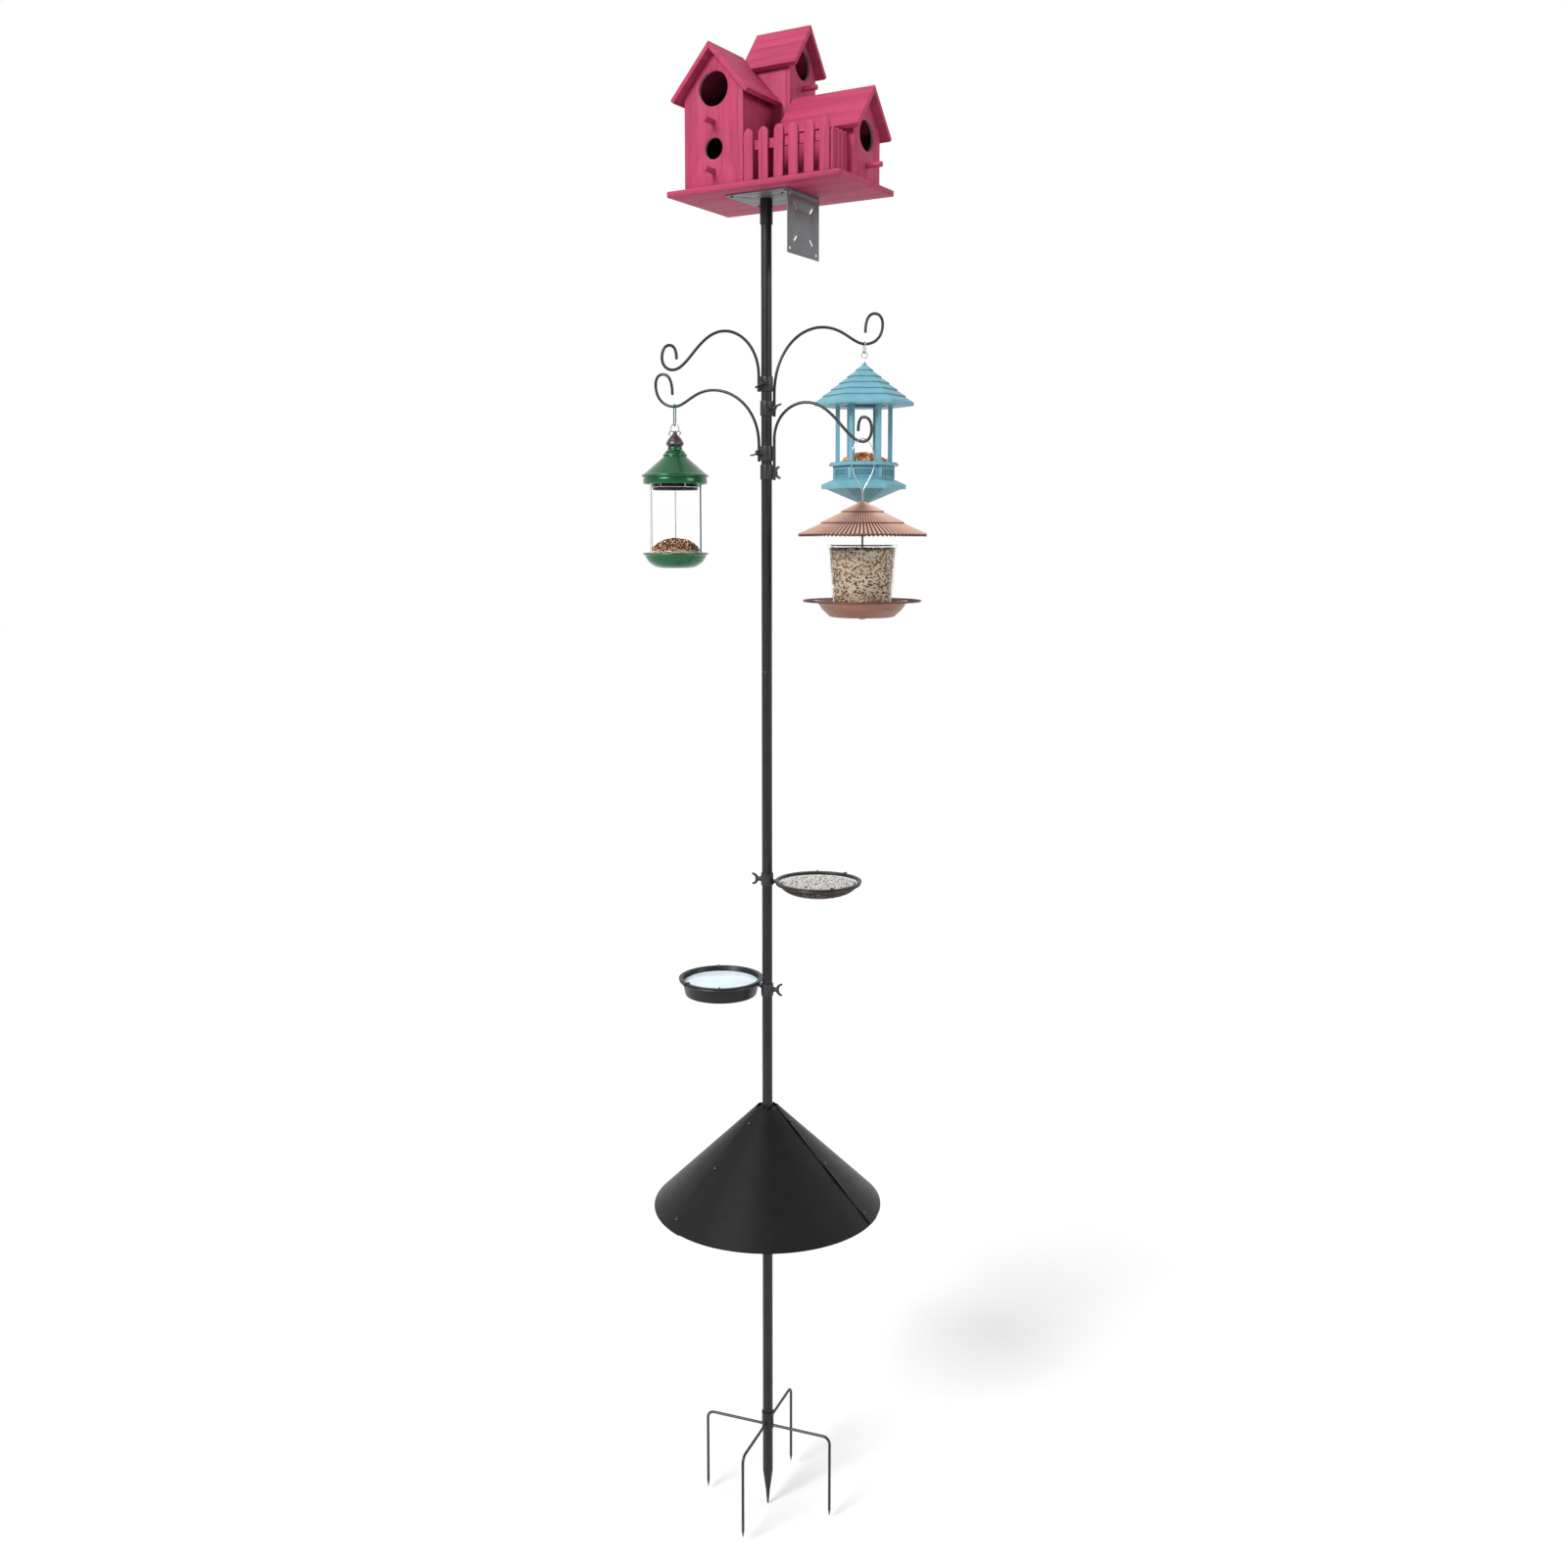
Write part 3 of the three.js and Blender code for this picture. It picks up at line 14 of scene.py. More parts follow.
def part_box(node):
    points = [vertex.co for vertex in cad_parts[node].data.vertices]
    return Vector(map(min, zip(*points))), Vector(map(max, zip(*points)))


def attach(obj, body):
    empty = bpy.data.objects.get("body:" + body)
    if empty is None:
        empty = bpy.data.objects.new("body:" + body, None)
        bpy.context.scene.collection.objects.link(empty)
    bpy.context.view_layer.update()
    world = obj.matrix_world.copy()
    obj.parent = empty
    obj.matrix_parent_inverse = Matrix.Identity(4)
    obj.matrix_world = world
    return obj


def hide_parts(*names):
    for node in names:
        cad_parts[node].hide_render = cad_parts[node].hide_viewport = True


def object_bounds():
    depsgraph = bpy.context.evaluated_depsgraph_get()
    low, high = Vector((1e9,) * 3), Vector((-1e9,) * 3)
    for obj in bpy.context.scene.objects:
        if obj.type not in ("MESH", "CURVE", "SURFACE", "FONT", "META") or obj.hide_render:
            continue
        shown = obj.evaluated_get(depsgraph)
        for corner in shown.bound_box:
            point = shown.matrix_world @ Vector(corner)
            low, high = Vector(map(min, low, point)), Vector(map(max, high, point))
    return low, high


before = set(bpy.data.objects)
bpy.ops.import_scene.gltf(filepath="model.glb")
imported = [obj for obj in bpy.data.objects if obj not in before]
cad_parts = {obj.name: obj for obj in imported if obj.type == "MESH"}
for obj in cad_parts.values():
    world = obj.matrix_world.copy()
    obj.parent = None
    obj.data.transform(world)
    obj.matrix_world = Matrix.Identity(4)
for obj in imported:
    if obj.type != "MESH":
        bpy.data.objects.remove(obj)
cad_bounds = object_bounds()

MM = 0.001
TAU = 2 * math.pi


# ---------------------------------------------------------------- driving dimensions

GAP = 0.3
POLE_WALL = 1.3
COLLAR_R = 13.2
COLLAR_BORE = 11.35
BOSS_OUT = 16.5
WING_LEAN = 80
HOOK_WIRE_R = 3.0
HOOK_COLLAR = 30
HOOKS = {
    "upper_left": dict(
        azimuth=200, screw=40, lean=50, collar=2246, leave=2262, apex=86, reach=199, saddle=2267,
        rise=81, curl=(21, 23), top=(5, 48), tip=(-9, 22),
    ),
    "upper_right": dict(
        azimuth=20, screw=-60, lean=40, collar=2197, leave=2226, apex=126, reach=216, saddle=2335,
        rise=30, curl=(41, 42), top=(24, 63), tip=(2, 24),
    ),
    "lower_left": dict(
        azimuth=160, screw=50, lean=20, collar=2106, leave=2124, apex=120, reach=205, saddle=2206.5,
        rise=31, curl=(43, 46), top=(27, 67), tip=(5, 25),
    ),
    "lower_right": dict(
        azimuth=-20, screw=52, lean=80, collar=2068, leave=2134, apex=84, reach=206, saddle=2126,
        rise=81, curl=(18, 24), top=(1, 48.5), tip=(-10, 22),
    ),
}
PRONGS = dict(azimuth=-21, reach=144, length=180, bend=15, point=14, middle=-90, wire=3, lower=-7.2)
BAFFLE = dict(
    rim=505, rim_r=244, top=717, top_r=25, sheet=1, lift=1.3, seam=-28, pitch=120, overlap=10,
    screws=(0.12, 0.5, 0.92), screw_in=9, screw_tilt=44, tabs=4, tab=6, puff=2.0, puffs=2.4, fade=3.5,
    columns=104, rows=14,
)
DISH_AXIS = 110
RING_R = 87.5
RING_WIRE = 2.5
LIP_R = 91
LIP = 2.5
NECK_R = RING_R - RING_WIRE - 2 * GAP
BRACKET_COLLAR = 26
WATER_DISH = dict(azimuth=156, screw=-8, rim=992, collar=978, depth=37, floor=77, wall=2)
MESH_TRAY = dict(azimuth=-12, screw=172, rim=1220, collar=1218, depth=32, pitch=4.6, weave=0.35, wire=0.42)
HOUSE_TURN = -31
BOARD = dict(u=396, v=226, thick=12, shift=(24, 14))
WALL = 8
ROOF = 9
DOWEL_R = 5.5
TALL = dict(
    u0=40, u1=178, v0=6, v1=116, ridge=272, slope=48, span=91, over=18, back=0,
    doors=((186, 34), (72, 21)), perches=(122, 28),
)
TOWER = dict(
    u0=122, u1=217, v0=118.5, v1=222, ridge=330, slope=53, span=65, over=19, back=14,
    doors=((256, 31),), perches=(208,),
)
SMALL = dict(
    u0=219, u1=388, v0=72, v1=180, ridge=179, slope=50, span=73, over=17, back=0,
    doors=((86, 30),), perches=(29,),
)
FENCE = dict(
    start=178.3, end=376, v=4, picket=21, count=6, pitch=34, thick=6, height=101, rail=58,
    rail_height=18, side_picket=13.5, side_pitch=15.5, side_count=4, side_height=84,
)
CAMERA = dict(lens=34.875, sensor=36, shift=-0.05, place=(0.0356, -3.150, 1.942), pitch=6.44)
FLOOR = dict(half=30, cells=24, drop=0.002, grey=(0.69, 0.70))
SKY = {"From Min": -0.55, "From Max": 0.2, "To Min": 0.5, "To Max": 1.0}
SUNS = (("key", 4.0, 24, (-0.62, -0.75, 0.62)), ("fill", 0.9, 30, (0.9, -0.5, 0.35)))
SEEDS = dict(tray_low=1500, tray_top=2200, green=1150, blue=330, hopper=2700, hopper_top=520, spill=620)
PLATE = dict(u=146, v=124, drop=124, thick=2.5, leg=1.5, right=87, hole=3.1, inset=10, slot=31)


# ---------------------------------------------------------------- materials

LIGHT_GAIN = 1.72  # how much brighter than its own colour a surface shows


def srgb(red, green, blue):
    """The colour of a surface that shows as these 0 to 255 values where the key light falls on it."""
    shares = [c / 255 for c in (red, green, blue)]
    linear = [c / 12.92 if c < 0.04045 else ((c + 0.055) / 1.055) ** 2.4 for c in shares]
    return tuple(c / LIGHT_GAIN for c in linear) + (1.0,)


class Look:
    """A material being made: one Principled shader and the nodes that feed it."""

    def __init__(self, name, **sockets):
        self.material = bpy.data.materials.new(name)
        self.material.use_nodes = True
        self.tree = self.material.node_tree
        self.shader = self.tree.nodes["Principled BSDF"]
        for socket, value in sockets.items():
            self.shader.inputs[socket.replace("_", " ")].default_value = value

    def node(self, kind, inputs=None, **settings):
        made = self.tree.nodes.new(kind)
        for key, value in settings.items():
            setattr(made, key, value)
        for key, value in (inputs or {}).items():
            if isinstance(value, bpy.types.NodeSocket):
                self.tree.links.new(value, made.inputs[key])
            else:
                made.inputs[key].default_value = value
        return made

    def feed(self, socket, source):
        self.tree.links.new(source, self.shader.inputs[socket])

    def place(self, scale=(1, 1, 1)):
        """Object coordinates, stretched by scale, shifted for each object so that no two match."""
        where = self.node("ShaderNodeTexCoord").outputs["Object"]
        other = self.node("ShaderNodeObjectInfo").outputs["Random"]
        shift = self.node("ShaderNodeMath", {0: other, 1: 7.0}, operation="MULTIPLY").outputs[0]
        moved = self.node("ShaderNodeVectorMath", {0: where, 1: shift}, operation="ADD").outputs[0]
        return self.node("ShaderNodeMapping", {"Vector": moved, "Scale": scale}).outputs[0]

    def noise(self, where, scale, detail=3.0, rough=0.55, twist=0.0):
        inputs = {"Vector": where, "Scale": scale, "Detail": detail, "Roughness": rough, "Distortion": twist}
        return self.node("ShaderNodeTexNoise", inputs).outputs["Fac"]

    def ramp(self, share, stops):
        made = self.node("ShaderNodeValToRGB", {"Fac": share})
        elements = made.color_ramp.elements
        while len(elements) < len(stops):
            elements.new(0.5)
        for element, (at, colour) in zip(elements, stops):
            element.position = at
            element.color = colour
        return made.outputs["Color"]

    def mix(self, share, a, b, how="MIX"):
        made = self.node("ShaderNodeMix", data_type="RGBA", blend_type=how)
        for socket, value in ((made.inputs[0], share), (made.inputs[6], a), (made.inputs[7], b)):
            if isinstance(value, bpy.types.NodeSocket):
                self.tree.links.new(value, socket)
            else:
                socket.default_value = value
        return made.outputs[2]

    def spread(self, value, low, high):
        return self.node("ShaderNodeMapRange", {"Value": value, "To Min": low, "To Max": high}).outputs[0]

    def bump(self, height, distance, strength=0.5):
        inputs = {"Height": height, "Distance": distance * MM, "Strength": strength}
        self.feed("Normal", self.node("ShaderNodeBump", inputs).outputs[0])


def coated_steel(name, dark, light, roughness, specular):
    """Powder coat: a fine orange peel, faint cloudy tone and a few pale rubbed specks."""
    look = Look(name, Specular_IOR_Level=specular)
    where = look.place()
    tone = look.ramp(look.noise(where, 28, 4), [(0.35, dark), (0.68, light)])
    rub = look.ramp(look.noise(where, 520, 2), [(0.7, (0, 0, 0, 1)), (0.78, (0.35, 0.35, 0.35, 1))])
    paler = tuple(c * 2 + 0.006 for c in light[:3]) + (1.0,)
    look.feed("Base Color", look.mix(rub, tone, paler))
    look.feed("Roughness", look.spread(look.noise(where, 90), roughness - 0.07, roughness + 0.09))
    look.bump(look.noise(where, 1100, 2), 0.05)
    return look.material


def stained_wood(name, along, light, dark, streak):
    """Stained softwood with its grain along one of the board's own axes, 0 to 2."""
    gloss = 0.62
    look = Look(name, Specular_IOR_Level=0.3)
    stretch = [1.0, 1.0, 1.0]
    stretch[along] = 0.045
    where = look.place(tuple(stretch))
    broad = look.noise(where, 60, 5, 0.6, 0.6)
    fine = look.noise(where, 420, 4, 0.65, 0.2)
    tone = look.ramp(broad, [(0.28, dark), (0.52, light), (0.75, streak)])
    lines = look.ramp(fine, [(0.34, (0.74, 0.74, 0.74, 1)), (0.50, (1, 1, 1, 1))])
    look.feed("Base Color", look.mix(0.8, tone, lines, "MULTIPLY"))
    look.feed("Roughness", look.spread(fine, gloss + 0.12, gloss - 0.1))
    look.bump(fine, 0.35, 0.55)
    return look.material


def metal(name, colour, roughness, metallic, cloud, coat):
    """Bare or painted metal whose tone clouds between a colour and a share of it."""
    look = Look(name, Metallic=metallic, Coat_Weight=coat, Coat_Roughness=0.12)
    where = look.place()
    shade = tuple(c * cloud for c in colour[:3]) + (1.0,)
    look.feed("Base Color", look.ramp(look.noise(where, 45, 4), [(0.3, shade), (0.7, colour)]))
    look.feed("Roughness", look.spread(look.noise(where, 160), roughness - 0.05, roughness + 0.1))
    look.bump(look.noise(where, 900, 2), 0.02, 0.4)
    return look.material


def clear_plastic(name, ior, roughness):
    look = Look(name, Transmission_Weight=1.0, IOR=ior, Base_Color=(1, 1, 1, 1))
    where = look.place()
    look.feed("Roughness", look.spread(look.noise(where, 60, 2), roughness, roughness + 0.05))
    look.bump(look.noise(where, 18, 2), 0.15, 0.25)
    return look.material


def painted(name, light, dark, roughness):
    """Satin paint over wood: a soft tone, faint brush lines and a fine bump."""
    look = Look(name, Specular_IOR_Level=0.4)
    where = look.place((1.0, 1.0, 0.1))
    tone = look.ramp(look.noise(where, 40, 4), [(0.32, dark), (0.66, light)])
    lines = look.noise(where, 700, 3)
    look.feed("Base Color", look.mix(look.spread(lines, 0.0, 0.35), tone, dark))
    look.feed("Roughness", look.spread(lines, roughness - 0.06, roughness + 0.08))
    look.bump(lines, 0.12, 0.4)
    return look.material


def seed_mix(name, colours):
    """Each seed takes one colour of the mix, with a darker streak along it."""
    roughness = 0.55
    look = Look(name, Specular_IOR_Level=0.35)
    island = look.node("ShaderNodeNewGeometry").outputs["Random Per Island"]
    stops = [(i / len(colours), colour) for i, colour in enumerate(colours)]
    chosen = look.ramp(island, stops)
    chosen.node.color_ramp.interpolation = "CONSTANT"
    streak = look.noise(look.place(), 650, 3)
    shade = look.ramp(streak, [(0.35, (0.55, 0.5, 0.46, 1)), (0.6, (1, 1, 1, 1))])
    look.feed("Base Color", look.mix(0.6, chosen, shade, "MULTIPLY"))
    look.feed("Roughness", look.spread(streak, roughness + 0.15, roughness - 0.1))
    return look.material


def fluted_copper(name, ribs):
    """Copper paint with painted shade in the grooves between the roof's ribs and a painted highlight on their
    crests.
    """
    look = Look(name, Metallic=0.15)
    where = look.node("ShaderNodeTexCoord").outputs["Object"]
    parts = look.node("ShaderNodeSeparateXYZ", {0: where})
    angle = look.node("ShaderNodeMath", {0: parts.outputs[1], 1: parts.outputs[0]}, operation="ARCTAN2")
    turns = look.node("ShaderNodeMath", {0: angle.outputs[0], 1: float(ribs)}, operation="MULTIPLY")
    wave = look.node("ShaderNodeMath", {0: turns.outputs[0]}, operation="COSINE").outputs[0]
    height = look.spread(wave, 0.0, 1.0)
    height.node.inputs["From Min"].default_value = -1.0
    # the dark stop paints the grooves' shade and the pale top stop paints the crests' highlight
    stops = [(0.2, srgb(92, 48, 38)), (0.5, srgb(210, 160, 140)), (1.0, srgb(240, 202, 182))]
    groove = look.ramp(height, stops)
    cloud = look.ramp(look.noise(look.place(), 30, 4), [(0.3, (0.86, 0.86, 0.86, 1)), (0.7, (1, 1, 1, 1))])
    look.feed("Base Color", look.mix(1.0, groove, cloud, "MULTIPLY"))
    look.feed("Roughness", look.spread(look.noise(look.place(), 120), 0.38, 0.55))
    return look.material


def still_water():
    look = Look("water", Transmission_Weight=0.35, IOR=1.33, Roughness=0.04)
    where = look.place()
    stops = [(0.3, (0.74, 0.88, 0.95, 1)), (0.7, (0.86, 0.95, 1, 1))]
    look.feed("Base Color", look.ramp(look.noise(where, 14, 3), stops))
    look.bump(look.noise(where, 45, 2), 0.6, 0.3)
    return look.material


PINK = ((198, 58, 102), (171, 44, 83), (209, 74, 117))
RIBS = 88
LOOKS = {"copper_ribs": fluted_copper("copper_ribs", RIBS), "water": still_water()}
for name, dark, light, roughness, specular in (
    ("pole_steel", (24, 24, 26), (36, 36, 38), 0.36, 0.32),
    ("wire_steel", (28, 29, 31), (45, 46, 49), 0.34, 0.45),
    ("screw_steel", (16, 16, 17), (26, 26, 28), 0.25, 0.5),
    ("baffle_steel", (12, 12, 14), (18, 18, 20), 0.42, 0.2),
    ("dish_plastic", (24, 25, 25), (34, 35, 35), 0.36, 0.28),
    ("mesh_steel", (34, 31, 30), (56, 48, 45), 0.42, 0.4),
    ("black_drum", (14, 14, 14), (20, 20, 20), 0.4, 0.3),
):
    LOOKS[name] = coated_steel(name, srgb(*dark), srgb(*light), roughness, specular)
for name, colour, roughness, metallic, cloud, coat in (
    ("bracket_steel", (124, 124, 128), 0.45, 0.2, 0.88, 0.0),
    ("green_metal", (42, 124, 77), 0.22, 0.75, 0.8, 0.3),
    ("green_wire", (34, 110, 76), 0.3, 0.4, 0.8, 0.0),
    ("dark_metal", (122, 108, 112), 0.3, 0.85, 0.7, 0.0),
    ("dark_rod", (70, 70, 72), 0.3, 0.5, 0.8, 0.0),
    ("bright_wire", (226, 228, 232), 0.2, 0.9, 0.85, 0.0),
    ("copper_paint", (178, 122, 104), 0.4, 0.25, 0.8, 0.0),
    # copper_dark: the perch ring's own colour, and also painted shade under the roof's tiers
    ("copper_dark", (104, 58, 46), 0.42, 0.25, 0.8, 0.0),
):
    LOOKS[name] = metal(name, srgb(*colour), roughness, metallic, cloud, coat)
for name, along, tones in (
    ("wood_u", 0, PINK),
    ("wood_up", 1, PINK),
    ("wood_deep", 2, PINK),
    # bare wood darkened to paint the shade inside the closed house
    ("wood_inside_shade", 1, ((62, 44, 44), (40, 28, 30), (74, 54, 52))),
    ("wood_cut", 2, ((205, 140, 155), (170, 100, 118), (220, 165, 175))),
):
    LOOKS[name] = stained_wood(name, along, *(srgb(*tone) for tone in tones))
for name, light, dark, roughness in (
    ("blue_wood", (128, 191, 207), (112, 177, 195), 0.5),
    # this darker blue paints the shade on lap steps and in the panels' recesses
    ("blue_painted_shade", (78, 142, 158), (66, 128, 146), 0.55),
):
    LOOKS[name] = painted(name, srgb(*light), srgb(*dark), roughness)
for name, ior, roughness in (("clear_plastic", 1.1, 0.01), ("hopper_plastic", 1.22, 0.02)):
    LOOKS[name] = clear_plastic(name, ior, roughness)
for name, *tones in (
    ("seed", (204, 138, 100), (148, 84, 56), (240, 208, 172), (104, 56, 40), (216, 160, 120)),
    ("seed_chips", (222, 158, 104), (198, 120, 72), (240, 200, 150), (160, 88, 52)),
    (
        "seed_mixed", (222, 160, 100), (116, 68, 42), (250, 232, 204), (176, 108, 62), (52, 34, 30),
        (228, 178, 90), (196, 140, 100), (255, 248, 236),
    ),
    ("seed_pale", (250, 250, 250), (236, 234, 230), (255, 255, 255), (206, 198, 188)),
    ("seed_brown", (156, 108, 86), (204, 164, 134), (86, 56, 46), (232, 202, 172), (122, 78, 60)),
):
    LOOKS[name] = seed_mix(name, [srgb(*tone) for tone in tones])


# ---------------------------------------------------------------- mesh helpers

def settle(piece, body, look, *nodes, at=None):
    """Places a piece, gives it its material and body, and lets it stand for CAD nodes."""
    if at is not None:
        piece.matrix_world = at
    if not piece.data.materials:
        piece.data.materials.append(LOOKS[look])
    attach(piece, body)
    if nodes:
        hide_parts(*nodes)
    return piece


def spun(degrees, axis="Z"):
    return Matrix.Rotation(math.radians(degrees), 4, axis)


def moved(x=0.0, y=0.0, z=0.0):
    return Matrix.Translation((x * MM, y * MM, z * MM))


def around(radius, angle, height):
    """The point at a radius, an angle in radians and a height."""
    return (radius * math.cos(angle), radius * math.sin(angle), height)


def oblong(width, height):
    return [(0, 0), (width, 0), (width, height), (0, height)]


def turned_to(x=0.0, y=0.0, z=0.0, turn=0.0):
    return moved(x, y, z) @ spun(turn)


def shaped(name, mesh, sharp=34.0):
    """An object of a bmesh, smooth except across edges sharper than an angle."""
    bmesh.ops.recalc_face_normals(mesh, faces=mesh.faces)
    limit = math.radians(sharp)
    for face in mesh.faces:
        face.smooth = True
    for edge in mesh.edges:
        if len(edge.link_faces) == 2 and edge.calc_face_angle(0.0) > limit:
            edge.smooth = False
    data = bpy.data.meshes.new(name)
    mesh.to_mesh(data)
    mesh.free()
    piece = bpy.data.objects.new(name, data)
    bpy.context.scene.collection.objects.link(piece)
    return piece


def eased(points, radius, closed=False, steps=3):
    """The same outline with each corner turned on a small curve."""
    line = [Vector(p) for p in points]
    out = []
    for i, corner in enumerate(line):
        if not closed and i in (0, len(line) - 1):
            out.append(corner)
            continue
        before = line[i - 1] - corner
        after = line[(i + 1) % len(line)] - corner
        start = corner + before.normalized() * min(radius, before.length * 0.45)
        end = corner + after.normalized() * min(radius, after.length * 0.45)
        for k in range(steps + 1):
            t = k / steps
            out.append(start * (1 - t) ** 2 + corner * 2 * t * (1 - t) + end * t * t)
    return out


def arc(radius, start, end, steps, centre=(0, 0)):
    """Points on an arc, its angles in degrees."""
    points = []
    for i in range(steps + 1):
        angle = math.radians(start + (end - start) * i / steps)
        points.append((centre[0] + radius * math.cos(angle), centre[1] + radius * math.sin(angle)))
    return points


def bridge(mesh, rings, closed):
    pairs = list(zip(rings, rings[1:])) + ([(rings[-1], rings[0])] if closed else [])
    for a, b in pairs:
        sides = max(len(a), len(b))
        for i in range(sides):
            j = (i + 1) % sides
            corners = [a[i % len(a)], a[j % len(a)], b[j % len(b)], b[i % len(b)]]
            face = list(dict.fromkeys(corners))
            if len(face) > 2:
                mesh.faces.new(face)


def revolve(mesh, profile, sides=72, closed=False, wave=None):
    """Adds a body turned about Z from (radius, height) points; wave(angle, radius) lifts its surface."""
    rings = []
    for radius, height in profile:
        if radius < 1e-6:
            rings.append([mesh.verts.new((0, 0, height * MM))])
            continue
        ring = []
        for i in range(sides):
            angle = TAU * i / sides
            lift = wave(angle, radius) if wave else 0.0
            ring.append(mesh.verts.new(Vector(around(radius, angle, height + lift)) * MM))
        rings.append(ring)
    bridge(mesh, rings, closed)
    return mesh


def lathe(name, profile, sides=72, closed=False, wave=None):
    return shaped(name, revolve(bmesh.new(), profile, sides, closed, wave))


def band(outer, inner, low, high, ease=0.6):
    return eased([(inner, low), (outer, low), (outer, high), (inner, high)], ease, closed=True)


def torus_profile(radius, wire, z=0.0, sides=14):
    return [(radius + x, z + y) for x, y in arc(wire, 0, 360 - 360 / sides, sides - 1)]


def tube(mesh, points, radius, sides=12, closed=False):
    """A round wire through points; its radius is a number or a function of the point's number."""
    line = [Vector(p) for p in points]
    count = len(line)
    tangents = []
    for i in range(count):
        after = line[(i + 1) % count] if closed else line[min(i + 1, count - 1)]
        before = line[i - 1] if closed else line[max(i - 1, 0)]
        tangents.append((after - before).normalized())
    side = tangents[0].orthogonal().normalized()
    rings = []
    for i, (at, tangent) in enumerate(zip(line, tangents)):
        side = (side - tangent * side.dot(tangent)).normalized()
        other = tangent.cross(side)
        reach = radius(i) if callable(radius) else radius
        ring = []
        for k in range(sides):
            angle = TAU * k / sides
            way = side * math.cos(angle) + other * math.sin(angle)
            ring.append(mesh.verts.new((at + way * reach) * MM))
        rings.append(ring)
    bridge(mesh, rings, closed)
    if not closed:
        for end, way in ((0, -tangents[0]), (-1, tangents[-1])):
            ring, at = rings[end], line[end]
            reach = (ring[0].co - at * MM).length
            tip = mesh.verts.new(at * MM + way * reach * 0.5)
            inner = [mesh.verts.new(at * MM + (v.co - at * MM) * 0.7 + way * reach * 0.38) for v in ring]
            bridge(mesh, [ring, inner, [tip]], False)
    return mesh


def bezier(corners, steps):
    a, b, c, d = (Vector(p) for p in corners)
    points = []
    for i in range(steps + 1):
        t = i / steps
        s = 1 - t
        points.append(a * s ** 3 + b * 3 * s * s * t + c * 3 * s * t * t + d * t ** 3)
    return points


def bezier_run(pieces, steps):
    points = []
    for corners in pieces:
        points += bezier(corners, steps)[1 if points else 0:]
    return points


def prism(name, outline, depth, holes=(), ease=0.5):
    """A board from its outline in its own XY plane, from z 0 up to depth, its edges eased."""
    curve = bpy.data.curves.new(name, "CURVE")
    curve.dimensions = "2D"
    curve.fill_mode = "BOTH"
    curve.bevel_depth = ease * MM
    curve.bevel_resolution = 1
    curve.offset = -ease * MM
    curve.extrude = (depth / 2 - ease) * MM
    for loop in (outline, *holes):
        spline = curve.splines.new("POLY")
        spline.points.add(len(loop) - 1)
        for point, (x, y) in zip(spline.points, loop):
            point.co = (x * MM, y * MM, 0, 1)
        spline.use_cyclic_u = True
    drawn = bpy.data.objects.new(name, curve)
    bpy.context.scene.collection.objects.link(drawn)
    data = bpy.data.meshes.new_from_object(drawn.evaluated_get(bpy.context.evaluated_depsgraph_get()))
    bpy.data.objects.remove(drawn)
    mesh = bmesh.new()
    mesh.from_mesh(data)
    bpy.data.meshes.remove(data)
    bmesh.ops.remove_doubles(mesh, verts=mesh.verts, dist=1e-6)
    bmesh.ops.translate(mesh, verts=mesh.verts, vec=(0, 0, depth / 2 * MM))
    return shaped(name, mesh, 24)


def refined(name, node, ease):
    """A piece of a CAD node's own flat-sided shape, its edges eased."""
    mesh = bmesh.new()
    mesh.from_mesh(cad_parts[node].data)
    bmesh.ops.remove_doubles(mesh, verts=mesh.verts, dist=1e-6)
    bmesh.ops.dissolve_limit(mesh, angle_limit=math.radians(1), verts=mesh.verts, edges=mesh.edges)
    limit = math.radians(20)
    edges = [e for e in mesh.edges if len(e.link_faces) == 2 and e.calc_face_angle(0.0) > limit]
    bmesh.ops.bevel(
        mesh, geom=edges, offset=ease * MM, segments=2, profile=0.7, affect="EDGES", clamp_overlap=True,
    )
    return shaped(name, mesh, 40)


def scattered(name, spots, rng, length, width):
    """A mesh of many seeds, each a small pointed body at a spot, turned at random."""
    rings = ((-0.5, 0.78), (0.15, 1.0))
    sides = 5
    verts = []
    faces = []
    for spot in spots:
        size = rng.uniform(0.75, 1.25)
        turn = Matrix.Rotation(rng.uniform(0, TAU), 3, "Z") @ Matrix.Rotation(rng.gauss(0, 0.45), 3, "Y")
        turn = turn @ Matrix.Rotation(rng.uniform(0, TAU), 3, "X")
        flat = rng.uniform(0.55, 0.8)
        base = len(verts)
        local = [Vector((-length / 2, 0, 0))]
        for along, share in rings:
            for k in range(sides):
                angle = TAU * k / sides
                y = math.cos(angle) * share * width / 2
                local.append(Vector((along * length / 2, y, math.sin(angle) * share * width / 2 * flat)))
        local.append(Vector((length / 2, 0, 0)))
        verts += [(Vector(spot) + turn @ (p * size)) * MM for p in local]
        last = base + 1 + 2 * sides
        for k in range(sides):
            a, b = base + 1 + k, base + 1 + (k + 1) % sides
            faces += [(base, b, a), (a, b, b + sides, a + sides), (a + sides, b + sides, last)]
    data = bpy.data.meshes.new(name)
    data.from_pydata(verts, [], faces)
    data.shade_smooth()
    piece = bpy.data.objects.new(name, data)
    bpy.context.scene.collection.objects.link(piece)
    return piece


def on_disc(rng, radius, height, count):
    """Random spots on a mound, whose height above its foot is a function of the radius."""
    spots = []
    for _ in range(count):
        r = radius * math.sqrt(rng.random())
        angle = rng.uniform(0, TAU)
        spots.append(around(r, angle, height(r) + rng.uniform(-0.8, 0.8)))
    return spots


# ---------------------------------------------------------------- camera, floor and light

